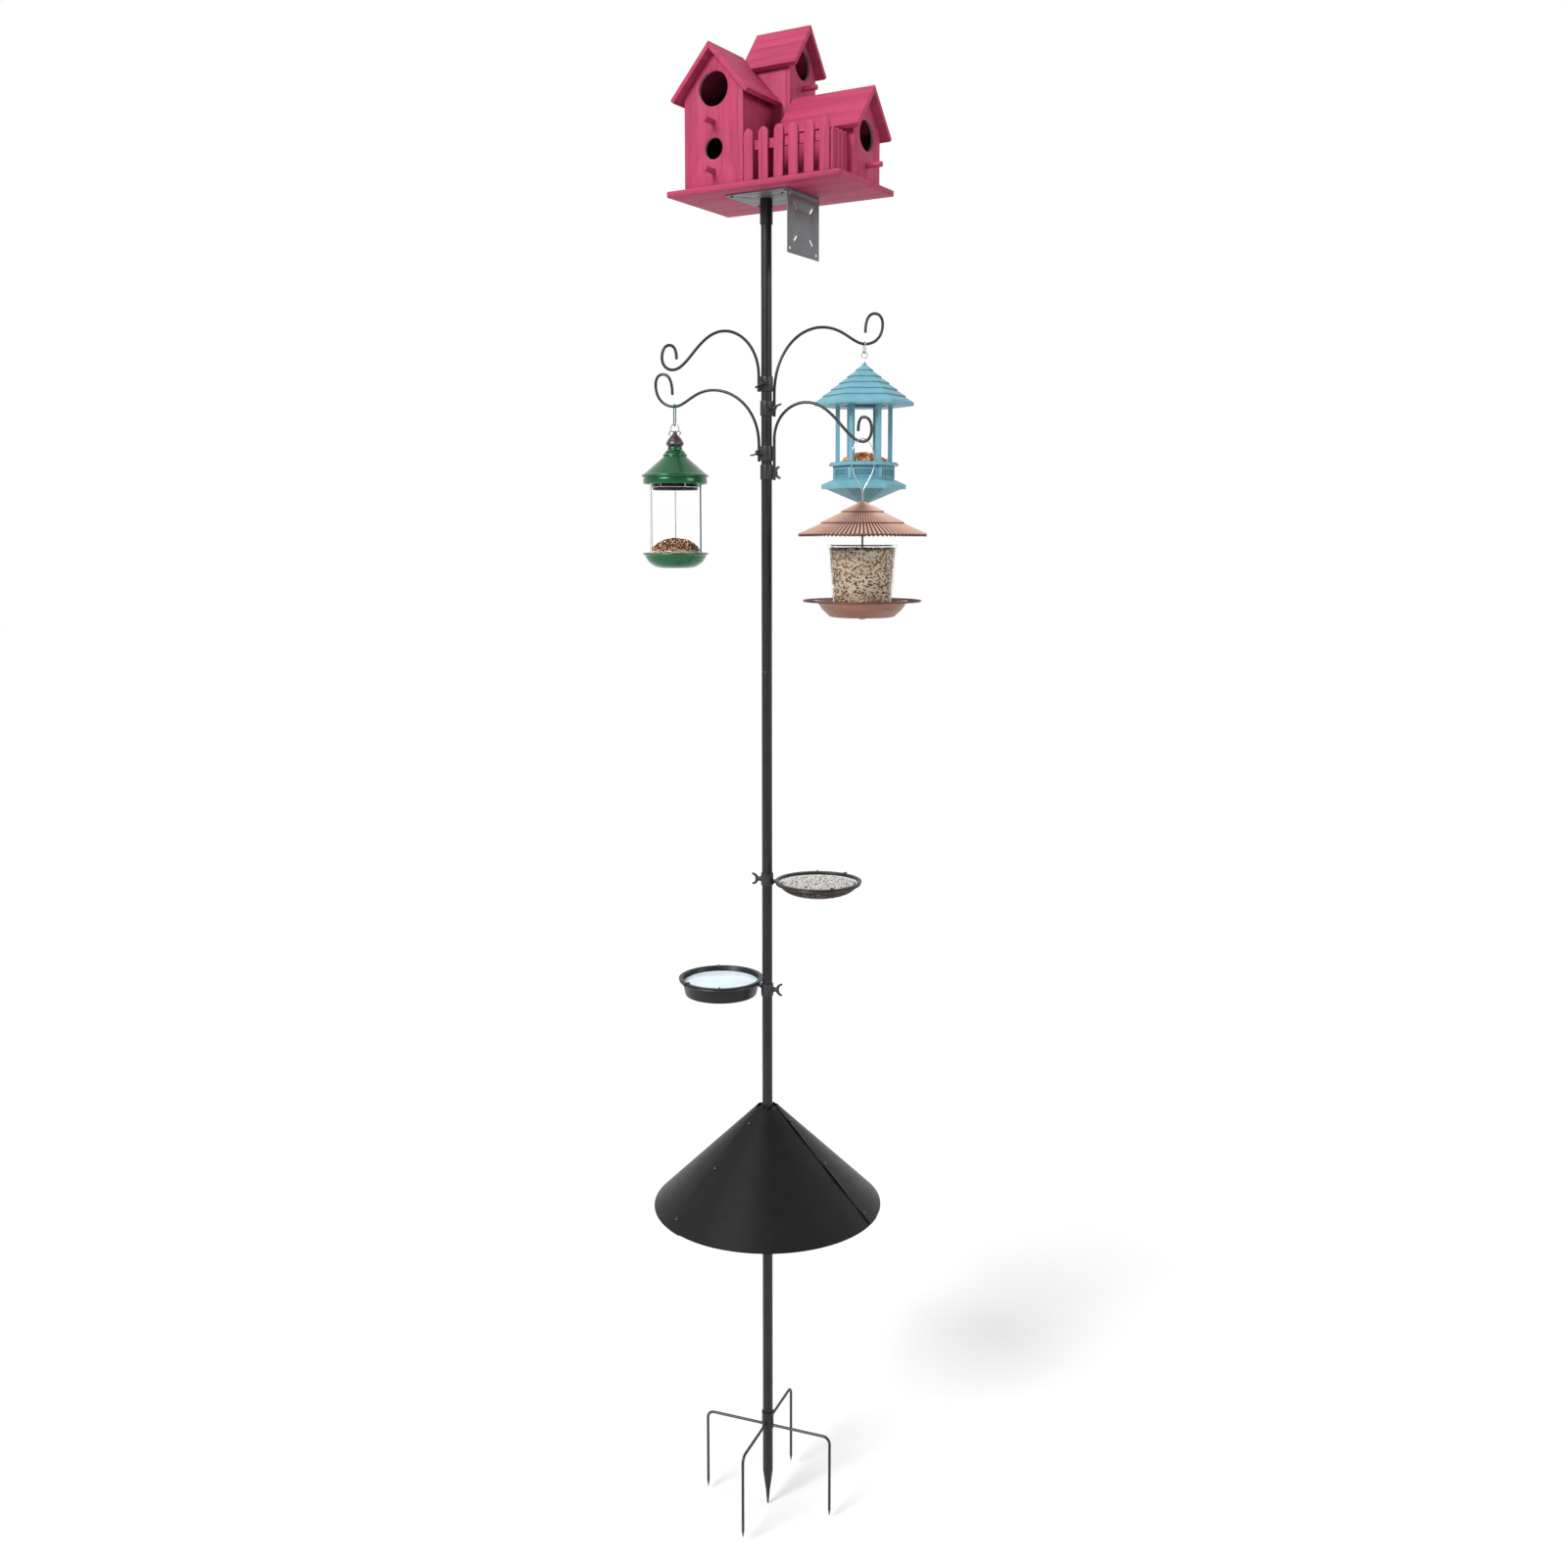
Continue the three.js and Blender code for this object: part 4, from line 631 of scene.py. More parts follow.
def make_camera():
    data = bpy.data.cameras.new("camera")
    data.lens = CAMERA["lens"]
    data.sensor_width = CAMERA["sensor"]
    data.shift_y = CAMERA["shift"]
    camera = bpy.data.objects.new("camera", data)
    camera.location = CAMERA["place"]
    camera.rotation_euler = (math.radians(90 - CAMERA["pitch"]), 0, 0)
    bpy.context.scene.collection.objects.link(camera)
    bpy.context.scene.camera = camera


def make_floor():
    """A wide pale floor that the stake's tip touches."""
    mesh = bmesh.new()
    bmesh.ops.create_grid(mesh, x_segments=FLOOR["cells"], y_segments=FLOOR["cells"], size=FLOOR["half"])
    floor = shaped("studio_floor", mesh)
    floor.location.z = cad_bounds[0][2] - FLOOR["drop"]
    look = Look("studio_floor", Roughness=0.9, Specular_IOR_Level=0.1)
    cloud = look.noise(look.place(), 1.5, 2)
    stops = [(at, (grey, grey, grey, 1)) for at, grey in zip((0.3, 0.7), FLOOR["grey"])]
    look.feed("Base Color", look.ramp(cloud, stops))
    floor.data.materials.append(look.material)


def make_light():
    world = bpy.data.worlds.new("studio")
    bpy.context.scene.world = world
    world.use_nodes = True
    tree = world.node_tree
    background = tree.nodes["Background"]
    where = tree.nodes.new("ShaderNodeTexCoord")
    parts = tree.nodes.new("ShaderNodeSeparateXYZ")
    fall = tree.nodes.new("ShaderNodeMapRange")
    fall.interpolation_type = "SMOOTHSTEP"
    for socket, value in SKY.items():
        fall.inputs[socket].default_value = value
    tree.links.new(where.outputs["Generated"], parts.inputs[0])
    tree.links.new(parts.outputs["Y"], fall.inputs["Value"])
    tree.links.new(fall.outputs[0], background.inputs["Strength"])
    background.inputs["Color"].default_value = (1, 1, 1, 1)
    for name, strength, spread, way in SUNS:
        data = bpy.data.lights.new(name, "SUN")
        data.energy = strength
        data.angle = math.radians(spread)
        sun = bpy.data.objects.new(name, data)
        sun.rotation_euler = Vector(way).to_track_quat("Z", "Y").to_euler()
        bpy.context.scene.collection.objects.link(sun)
    bpy.context.scene.view_settings.view_transform = "Standard"


# ---------------------------------------------------------------- pole, stake and prongs

def top_of(node):
    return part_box(node)[1].z / MM


def foot_of(node):
    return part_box(node)[0].z / MM


def make_pole():
    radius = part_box("pole_middle")[1].x / MM
    joints = [foot_of("pole_lower"), foot_of("pole_middle"), foot_of("pole_upper"), top_of("pole_upper")]
    bore = radius - POLE_WALL
    for i, name in enumerate(("lower", "middle", "upper")):
        low, high = joints[i], joints[i + 1] - (GAP if i < 2 else 0)
        crimp = high - 10
        waist = [(radius, crimp - 1.2), (radius - 0.5, crimp), (radius, crimp + 1.2)]
        profile = eased([(bore, low), (radius, low), *waist, (radius, high), (bore, high)], 0.45, closed=True)
        tube_piece = lathe("pole_" + name + "_tube", profile, 64, closed=True)
        settle(tube_piece, "pole", "pole_steel", "pole_" + name)


def make_stake():
    """The stake's socket, shank and long point, with a crimp under the socket."""
    socket_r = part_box("ground_stake")[1].x / MM
    shank = socket_r - 1.8
    tip, top = foot_of("ground_stake"), top_of("ground_stake")
    profile = [
        (0, tip), (2.2, tip + 2), (4.6, tip + 30), (shank, tip + 79), (shank, -17), (socket_r, -14),
        (socket_r, top - 3), (socket_r + 0.7, top - 2), (socket_r + 0.7, top), (COLLAR_BORE, top),
        (COLLAR_BORE, 6), (0, 6),
    ]
    stake = lathe("stake_body", eased(profile, 0.7), 64)
    flats = 0.93
    for vertex in stake.data.vertices:
        depth = (tip + 79) * MM - vertex.co.z
        if depth > 0:
            vertex.co.x *= 1 - (1 - flats) * min(1, depth / (40 * MM))
    settle(stake, "pole", "pole_steel", "ground_stake")


def prong_path(height):
    """Up one prong, round its bend, across the stake and down the other prong."""
    p = PRONGS
    bends = []
    for side, start in ((-1, 0), (1, 90)):
        for x, z in arc(p["bend"], start, 90 - start, 8):
            bends.append((side * (p["reach"] - p["bend"] + x), z - p["bend"]))
    foot = -p["length"]
    down = [foot, foot + p["point"], p["middle"]]
    left = [(-p["reach"], z) for z in down]
    right = [(p["reach"], z) for z in reversed(down)]
    return [(x, 0, height + z) for x, z in [*left, *bends, *right]]


def make_prongs():
    for name, turn, height in (("side", 0, PRONGS["lower"]), ("front", 90, 0)):
        path = prong_path(height)
        last = len(path) - 1
        point = lambda i: 0.6 if i in (0, last) else PRONGS["wire"]
        mesh = tube(bmesh.new(), path, point, 16)
        wire = shaped("prong_" + name, mesh, 50)
        settle(wire, "pole", "wire_steel", "prong_wire_" + name, at=turned_to(turn=PRONGS["azimuth"] + turn))


# ---------------------------------------------------------------- screws and collars

def join_into(mesh, other, matrix):
    """Adds a bmesh to another one, moved by a matrix."""
    bmesh.ops.transform(other, matrix=matrix, verts=other.verts)
    data = bpy.data.meshes.new("part")
    other.to_mesh(data)
    other.free()
    mesh.from_mesh(data)
    bpy.data.meshes.remove(data)
    return mesh


OUTWARD = spun(90, "Y")


def ear_outline(side):
    """One wing of a wing screw, in the plane of the screw's own X and Y."""
    seat = BOSS_OUT + GAP + 7
    points = [
        (seat - 6, 0), (seat - 6, 3.4), (seat - 2, 9.5), (seat + 4, 13.4), (seat + 9, 13.2),
        (seat + 8.4, 9.6), (seat + 3.4, 7.2), (seat + 0.5, 0),
    ]
    return [(x, y * side) for x, y in eased(points, 2.2, closed=True, steps=4)]


def wing_screw(name, body, node, azimuth, height, lean):
    """A screw pointing at the pole, with a round head and two spread wings."""
    seat = BOSS_OUT + GAP
    mesh = bmesh.new()
    shank = [
        (0, 11.3), (2.5, 11.3), (2.5, seat), (4.6, seat), (4.6, seat + 6), (3.4, seat + 8.2), (0, seat + 8.6),
    ]
    join_into(mesh, revolve(bmesh.new(), eased(shank, 0.5), 28), OUTWARD)
    for side in (-1, 1):
        ear = prism("ear", ear_outline(side), 2.4, ease=0.6)
        part = bmesh.new()
        part.from_mesh(ear.data)
        bpy.data.objects.remove(ear)
        join_into(mesh, part, moved(z=-1.2))
    at = turned_to(z=height, turn=azimuth) @ spun(lean, "X")
    settle(shaped(name, mesh), body, "wire_steel", node, at=at)


def add_boss(mesh, at):
    """Adds the round boss that a collar's screw turns in."""
    boss = [(2.8, 11.6), (5.6, 11.6), (5.4, BOSS_OUT), (2.8, BOSS_OUT)]
    boss = revolve(bmesh.new(), eased(boss, 0.7, closed=True), 28, closed=True)
    return join_into(mesh, boss, at @ OUTWARD)


def collar_mesh(height, screw):
    """A clamp collar with its screw's boss at an azimuth."""
    wall = band(COLLAR_R, COLLAR_BORE, -height / 2, height / 2, 0.8)
    return add_boss(revolve(bmesh.new(), wall, 56, closed=True), spun(screw))


# ---------------------------------------------------------------- squirrel baffle

def baffle_point(turn, down, lift):
    """A point on the cone, a share of the way down it and lifted square to it."""
    b = BAFFLE
    angle = math.radians(turn)
    r = b["top_r"] + (b["rim_r"] - b["top_r"]) * down
    z = b["top"] + (b["rim"] - b["top"]) * down + lift * math.sqrt(2)
    return Vector(around(r, angle, z))


def baffle_panel(name):
    """A third of the cone: its first edge lies on its neighbour's last, and its top ends in tabs."""
    b = BAFFLE
    width = b["pitch"] + b["overlap"]
    columns, rows = b["columns"], b["rows"]
    mesh = bmesh.new()
    layers = []
    for thickness in (0, b["sheet"]):
        grid = []
        for i in range(columns + 1):
            turn = width * i / columns
            share = turn / width
            tab = max(0.0, math.cos(share * b["tabs"] * TAU + math.pi)) ** 0.5 * b["tab"]
            column = []
            for j in range(rows + 1):
                down = j / rows
                near_edge = math.exp(-turn / b["fade"])
                puff = b["puff"] * near_edge * math.sin(down * b["puffs"] * math.pi) ** 2
                lift = thickness + b["lift"] * (width - turn) / b["pitch"] + puff
                at = baffle_point(turn, down, lift)
                if j == 0:
                    slant = baffle_point(turn, 0, lift) - baffle_point(turn, 0.1, lift)
                    at += slant.normalized() * tab
                column.append(mesh.verts.new(at * MM))
            grid.append(column)
        layers.append(grid)
    low, high = layers
    for i in range(columns):
        for j in range(rows):
            mesh.faces.new((high[i][j], high[i + 1][j], high[i + 1][j + 1], high[i][j + 1]))
            mesh.faces.new((low[i][j], low[i][j + 1], low[i + 1][j + 1], low[i + 1][j]))
        for j in (0, rows):
            mesh.faces.new((low[i][j], low[i + 1][j], high[i + 1][j], high[i][j]))
    for i in (0, columns):
        for j in range(rows):
            mesh.faces.new((low[i][j], high[i][j], high[i][j + 1], low[i][j + 1]))
    return shaped(name, mesh, 40)


def pan_screw(name, body, at, radius, height):
    """A domed screw head with a dimple, its Z axis out of the surface."""
    mesh = bmesh.new()
    dome = [
        (0, height * 0.72), (radius * 0.16, height * 0.72), (radius * 0.24, height),
        (radius * 0.6, height * 0.93), (radius * 0.9, height * 0.6), (radius, 0.1), (radius, -0.4), (0, -0.4),
    ]
    revolve(mesh, eased(dome, 0.25), 28)
    settle(shaped(name, mesh), body, "screw_steel", at=at)


def make_baffle():
    b = BAFFLE
    for i, name in enumerate(("front", "right", "left")):
        turn = b["seam"] + (i - 1) * b["pitch"]
        panel = baffle_panel("baffle_sheet_" + name)
        settle(panel, "baffle", "baffle_steel", "baffle_panel_" + name, at=turned_to(turn=turn))
        for k, down in enumerate(b["screws"]):
            r = b["top_r"] + (b["rim_r"] - b["top_r"]) * down
            inset = math.degrees(b["screw_in"] / r)
            spot = baffle_point(turn + inset, down, b["sheet"] + b["lift"])
            at = Matrix.Translation(spot * MM) @ spun(turn + inset) @ spun(b["screw_tilt"], "Y")
            pan_screw("baffle_screw_%s_%d" % (name, k + 1), "baffle", at, 4.6, 3.0)
    low = foot_of("baffle_collar")
    top = top_of("baffle_collar")
    profile = [
        (COLLAR_BORE, low), (COLLAR_R, low), (COLLAR_R, top - 2.5), (25, top - 2.5), (45, top - 21.9),
        (45, top - 19.4), (25, top), (COLLAR_BORE, top),
    ]
    mesh = revolve(bmesh.new(), eased(profile, 0.6, closed=True), 64, closed=True)
    screw = low + 10
    add_boss(mesh, moved(z=screw))
    settle(shaped("baffle_hub", mesh), "baffle", "baffle_steel", "baffle_collar")
    wing_screw("baffle_clamp_screw", "baffle_screw", "baffle_thumb_screw", 0, screw, 0)


# ---------------------------------------------------------------- water dish and mesh tray

def ring_bracket(name, body, node, spec):
    """A collar, the strap out of it and the wire ring that the dish's lip sits on."""
    drop = spec["rim"] - LIP - GAP - RING_WIRE - spec["collar"]
    mesh = collar_mesh(BRACKET_COLLAR, spec["screw"] - spec["azimuth"])
    ring = revolve(bmesh.new(), torus_profile(RING_R, RING_WIRE), 96, closed=True)
    join_into(mesh, ring, moved(DISH_AXIS, z=drop))
    tube(mesh, [(COLLAR_R - 1, 0, drop), (18, 0, drop), (DISH_AXIS - RING_R + 0.5, 0, drop)], 3.0, 14)
    for side in (-1, 1):
        brace = [(COLLAR_R - 1, side * 3, drop - 6), (19, side * 3.5, drop - 2), (23.5, side * 5, drop)]
        tube(mesh, brace, 1.6, 10)
    piece = shaped(name, mesh, 40)
    settle(piece, body, "wire_steel", node, at=turned_to(z=spec["collar"], turn=spec["azimuth"]))


def rim_clips(name, body, spec, look):
    """Small clips that hold the lip down on the ring."""
    for k, turn in enumerate((60, 180 - spec["azimuth"] % 90, 300)):
        mesh = bmesh.new()
        path = [
            (RING_R - 7, 0, -1), (RING_R - 6, 0, 1.5), (LIP_R - 1, 0, 2.1), (LIP_R + 1.6, 0, 0.4),
            (LIP_R + 1.2, 0, -5),
        ]
        tube(mesh, path, 1.3, 10)
        at = turned_to(z=spec["rim"], turn=spec["azimuth"]) @ turned_to(x=DISH_AXIS, turn=turn)
        settle(shaped("%s_%d" % (name, k + 1), mesh), body, look, at=at)


def make_dish():
    d = WATER_DISH
    ring_bracket("dish_ring_bracket", "dish_bracket", "water_dish_bracket", d)
    wing_screw("dish_wing_screw", "dish_screw", "water_dish_wing_screw", d["screw"], d["collar"], WING_LEAN)
    low = -d["depth"]
    floor = low + d["wall"]
    profile = [
        (0, low), (d["floor"] - 3, low), (d["floor"], low + 1), (NECK_R, -LIP), (LIP_R, -LIP), (LIP_R, 0),
        (NECK_R - d["wall"], 0), (d["floor"] - d["wall"], floor + 2), (d["floor"] - 6, floor), (0, floor),
    ]
    at = turned_to(z=d["rim"], turn=d["azimuth"]) @ turned_to(x=DISH_AXIS)
    settle(lathe("dish_bowl", eased(profile, 1.2), 112), "dish", "dish_plastic", "water_dish", at=at)
    level = -10.5
    edge = NECK_R - d["wall"] - 1.4
    surface = [
        (0, floor + 0.2), (d["floor"] - 6, floor + 0.2), (edge - 0.6, level - 1), (edge, level + 0.5),
        (edge - 3, level), (edge * 0.6, level - 0.2), (0, level),
    ]
    settle(lathe("dish_water", surface, 96), "dish", "water", at=at)
    rim_clips("dish_clip", "dish", d, "wire_steel")


def tray_depth(r):
    """How deep the mesh lies under the rim at a radius."""
    return -MESH_TRAY["depth"] * math.sqrt(max(0.0, 1 - (r / NECK_R) ** 2.6)) * 0.97 - 1.0


def make_tray():
    """A tray of woven wire, full of seed, in its rim and ring."""
    t = MESH_TRAY
    ring_bracket("tray_ring_bracket", "tray_bracket", "mesh_tray_bracket", t)
    wing_screw("tray_wing_screw", "tray_screw", "mesh_tray_wing_screw", t["screw"], t["collar"], WING_LEAN)
    at = turned_to(z=t["rim"], turn=t["azimuth"]) @ turned_to(x=DISH_AXIS)
    mesh = revolve(bmesh.new(), band(LIP_R, NECK_R - 1.6, -LIP, 0, 1.0), 112, closed=True)
    revolve(mesh, torus_profile(NECK_R - 0.8, 1.5, -3.2), 96, closed=True)
    pitch = t["pitch"]
    lines = int(NECK_R / pitch)
    for axis in (0, 1):
        for i in range(-lines, lines + 1):
            across = i * pitch
            reach = math.sqrt(max(0.0, (NECK_R - 1) ** 2 - across ** 2))
            if reach < 6:
                continue
            steps = max(5, int(reach / 4))
            path = []
            for k in range(steps + 1):
                along = -reach + 2 * reach * k / steps
                weave = t["weave"] * (1 if (i + k + axis) % 2 else -1)
                height = tray_depth(min(NECK_R, math.hypot(across, along))) + weave
                path.append((along, across, height) if axis else (across, along, height))
            tube(mesh, path, t["wire"], 5)
    settle(shaped("tray_woven_mesh", mesh, 50), "tray", "mesh_steel", "mesh_tray", at=at)
    rng = random.Random(41)
    radii = [0, 20, 38, 52, 62, 70, 76, 80]
    bed = [(r, tray_depth(r) + 2.2) for r in radii] + [(74, -7.5), (50, -6.5), (0, -5.5)]
    settle(lathe("tray_seed_bed", bed, 64), "tray", "seed_brown", at=at)
    husk = []
    for _ in range(SEEDS["tray_low"]):
        r = 79 * math.sqrt(rng.random())
        angle = rng.uniform(0, TAU)
        husk.append(around(r, angle, tray_depth(r) + 2.6))
    settle(scattered("tray_seed_low", husk, rng, 6.5, 3.4), "tray", "seed_brown", at=at)
    top = on_disc(rng, 74, lambda r: -5.8 - 1.4 * (r / 74) ** 2, SEEDS["tray_top"])
    settle(scattered("tray_seed_top", top, rng, 5.2, 3.2), "tray", "seed_pale", at=at)
    rim_clips("tray_clip", "tray", t, "mesh_steel")


# ---------------------------------------------------------------- shepherd hooks

def hook_path(h):
    """The wire's centreline in its own plane, as (reach, 0, height above the collar)."""
    x0 = COLLAR_R + HOOK_WIRE_R + 2 * GAP
    saddle = (h["reach"], h["saddle"] - h["collar"])
    apex = (h["apex"], saddle[1] + h["rise"])
    far, top, tip = ((saddle[0] + h[k][0], saddle[1] + h[k][1]) for k in ("curl", "top", "tip"))
    start = (x0, h["leave"] - h["collar"])
    part = lambda a, b, share: a + (b - a) * share
    run = [
        (start, (x0, part(start[1], apex[1], 0.62)), (part(apex[0], x0, 0.5), apex[1]), apex),
        (apex, (part(apex[0], saddle[0], 0.5), apex[1]), (part(saddle[0], apex[0], 0.3), saddle[1]), saddle),
        (saddle, (part(saddle[0], far[0], 0.6), saddle[1]), (far[0], part(far[1], saddle[1], 0.6)), far),
        (far, (far[0], part(far[1], top[1], 0.6)), (part(top[0], far[0], 0.6), top[1]), top),
        (top, (part(top[0], tip[0], 0.8), top[1]), (tip[0], part(tip[1], top[1], 0.5)), tip),
    ]
    points = bezier_run(run, 18)
    foot = [Vector((x0, -HOOK_COLLAR / 2)), Vector((x0, start[1] * 0.4))]
    return [(p[0], 0, p[1]) for p in foot + points]


def make_hooks():
    for name, h in HOOKS.items():
        mesh = collar_mesh(HOOK_COLLAR, h["screw"])
        tube(mesh, hook_path(h), HOOK_WIRE_R, 18)
        for side in (-1, 1):
            reach = HOOK_COLLAR / 2 - 2
            steps = enumerate(range(int(-reach), int(reach), 3))
            bead = [(COLLAR_R + 1.0, side * 2.2, z + 0.8 * (k % 2)) for k, z in steps]
            tube(mesh, bead, 1.5, 8)
        at = turned_to(z=h["collar"], turn=h["azimuth"])
        settle(shaped("hook_arm_" + name, mesh, 45), "hook_" + name, "wire_steel", "hook_" + name, at=at)
        azimuth = h["azimuth"] + h["screw"]
        screw = "screw_" + name
        wing_screw("hook_wing_" + screw, screw, "wing_" + screw, azimuth, h["collar"], h["lean"])


def saddle_of(name):
    """A frame at a hook's saddle: X outwards along the wire, Z up."""
    h = HOOKS[name]
    return turned_to(*around(h["reach"], math.radians(h["azimuth"]), h["saddle"]), h["azimuth"])


def link(name, body, node, at, depth, look):
    """A long link round the hook's wire, square to it."""
    half, wire = 4.8, 1.2
    top = HOOK_WIRE_R + GAP + wire
    path = arc(half, 0, 180, 14, (0, top - half)) + arc(half, 180, 360, 14, (0, -depth - wire + half))
    mesh = tube(bmesh.new(), [(0, x, z) for x, z in path], wire, 12, closed=True)
    settle(shaped(name, mesh, 60), body, look, node, at=at)


def ring_middle(depth, ring, wire):
    """The height of a ring's middle, when the ring hangs in the foot of a link."""
    return -(depth + 1.2 + ring - wire - 1.7 - GAP)


def upright_ring(mesh, radius, wire, middle):
    return tube(mesh, [(x, 0, middle + z) for x, z in arc(radius, 0, 350, 35)], wire, 12, closed=True)


# ---------------------------------------------------------------- green lantern feeder

def make_green_feeder():
    at = saddle_of("lower_left")
    link("green_link", "green_link", "green_hanger", at, 38, "green_wire")
    middle = ring_middle(38, 9, 1.1)
    mesh = upright_ring(bmesh.new(), 9, 1.1, middle)
    settle(shaped("green_top_ring", mesh, 60), "green_lid", "bright_wire", "green_ring", at=at)

    finial = [
        (0, -50), (3.6, -50.2), (4.4, -53), (4.2, -56), (6.5, -59), (10, -62), (14.5, -68), (16.8, -72.5),
        (18, -74), (18.6, -76.5), (18, -79), (16.4, -80.4), (15, -82), (14.8, -83.5), (0, -83.5),
    ]
    mesh = revolve(bmesh.new(), eased(finial, 0.8), 72)
    for side in (-1, 1):
        curl = [(side * (3.2 + x), 0, -55 + z) for x, z in arc(4.4, -60, 190, 16, (5.2, 0))]
        tube(mesh, curl, 1.0, 10)
    settle(shaped("green_cap", mesh, 40), "green_lid", "dark_metal", "green_finial", at=at)

    roof = [
        (0, -83.9), (14.6, -83.9), (15.4, -85), (15.5, -89), (17, -90.2), (19.6, -92), (22.6, -97),
        (23.6, -98.4), (25.4, -99.4), (25.8, -101.4), (24.4, -103), (26, -105), (65.5, -139.4),
        (68.6, -140.6), (70.4, -142.8), (69.8, -145.6), (66.6, -146.8), (66, -148), (67.2, -150),
        (67.4, -157), (66.6, -159.4), (65, -160.4), (63.4, -160.4), (63.4, -148), (60, -142), (22, -107),
        (13, -92), (0, -88),
    ]
    settle(lathe("green_dome", eased(roof, 0.7), 120), "green_lid", "green_metal", "green_roof", at=at)

    cage = bmesh.new()
    revolve(cage, band(62.3, 48, -151.7, -148.7, 0.5), 96, closed=True)
    for side in (-1, 1):
        tube(cage, [(side * 57.4, 0, z) for z in (-313, -250, -200, -150)], 1.5, 12)
    tube(cage, [(0, 0, z) for z in (-329, -260, -200, -149.5)], 0.7, 8)
    settle(shaped("green_frame", cage, 45), "green_feeder", "dark_rod", "green_cage", at=at)
    drum = eased([(0, -149), (47.5, -149), (47.5, -172.5), (45, -174), (0, -174)], 0.6)
    settle(lathe("green_drum", drum, 96), "green_feeder", "black_drum", at=at)
    bar = revolve(bmesh.new(), torus_profile(50, 1.5, -166.5), 96, closed=True)
    for k in range(6):
        angle = math.radians(60 * k + 18)
        tube(bar, [around(49.8, angle, z) for z in (-153, -158, -163, -167)], 1.5, 10)
    settle(shaped("green_drum_ring", bar, 45), "green_feeder", "bright_wire", at=at)

    wall = band(54, 52.4, -315.5, -152, 0.4)
    clear = lathe("green_clear_tube", wall, 120, closed=True)
    settle(clear, "green_feeder", "clear_plastic", "green_tube", at=at)
    tray = [
        (0, -336), (26, -335.8), (40, -334), (50, -329), (58, -322), (63.5, -313), (65.4, -308.6),
        (68.6, -307), (69.6, -305), (68.4, -303.4), (64, -303.4), (62.4, -307), (58, -310.6), (54, -313),
        (50, -316.4), (36, -329), (0, -329),
    ]
    settle(lathe("green_bowl", eased(tray, 0.9), 120), "green_feeder", "green_metal", "green_tray", at=at)

    rng = random.Random(7)
    dome = lambda r: -308 + 34 * math.sqrt(max(0.0, 1 - (r / 52) ** 2))
    core = [(r, dome(r) - 2.4) for r in (0, 10, 20, 30, 40, 47, 50.5)]
    core += [(50.5, -312), (36, -328.5), (0, -328.5)]
    settle(lathe("green_seed_core", core, 48), "green_feeder", "seed", at=at)
    spots = on_disc(rng, 49.8, dome, SEEDS["green"])
    settle(scattered("green_seed_heap", spots, rng, 6.4, 3.6), "green_feeder", "seed", at=at)


# ---------------------------------------------------------------- blue gazebo feeder

def shaded(piece, low_eave):
    """Painted shade: a darker blue on the shingles' lap steps."""
    for look in ("blue_wood", "blue_painted_shade"):
        piece.data.materials.append(LOOKS[look])
    for face in piece.data.polygons:
        z = face.center.z / MM
        lap = z > low_eave and 0.02 < abs(face.normal.z) + 0.03 < 0.4
        if lap:
            face.material_index = 1
    return piece


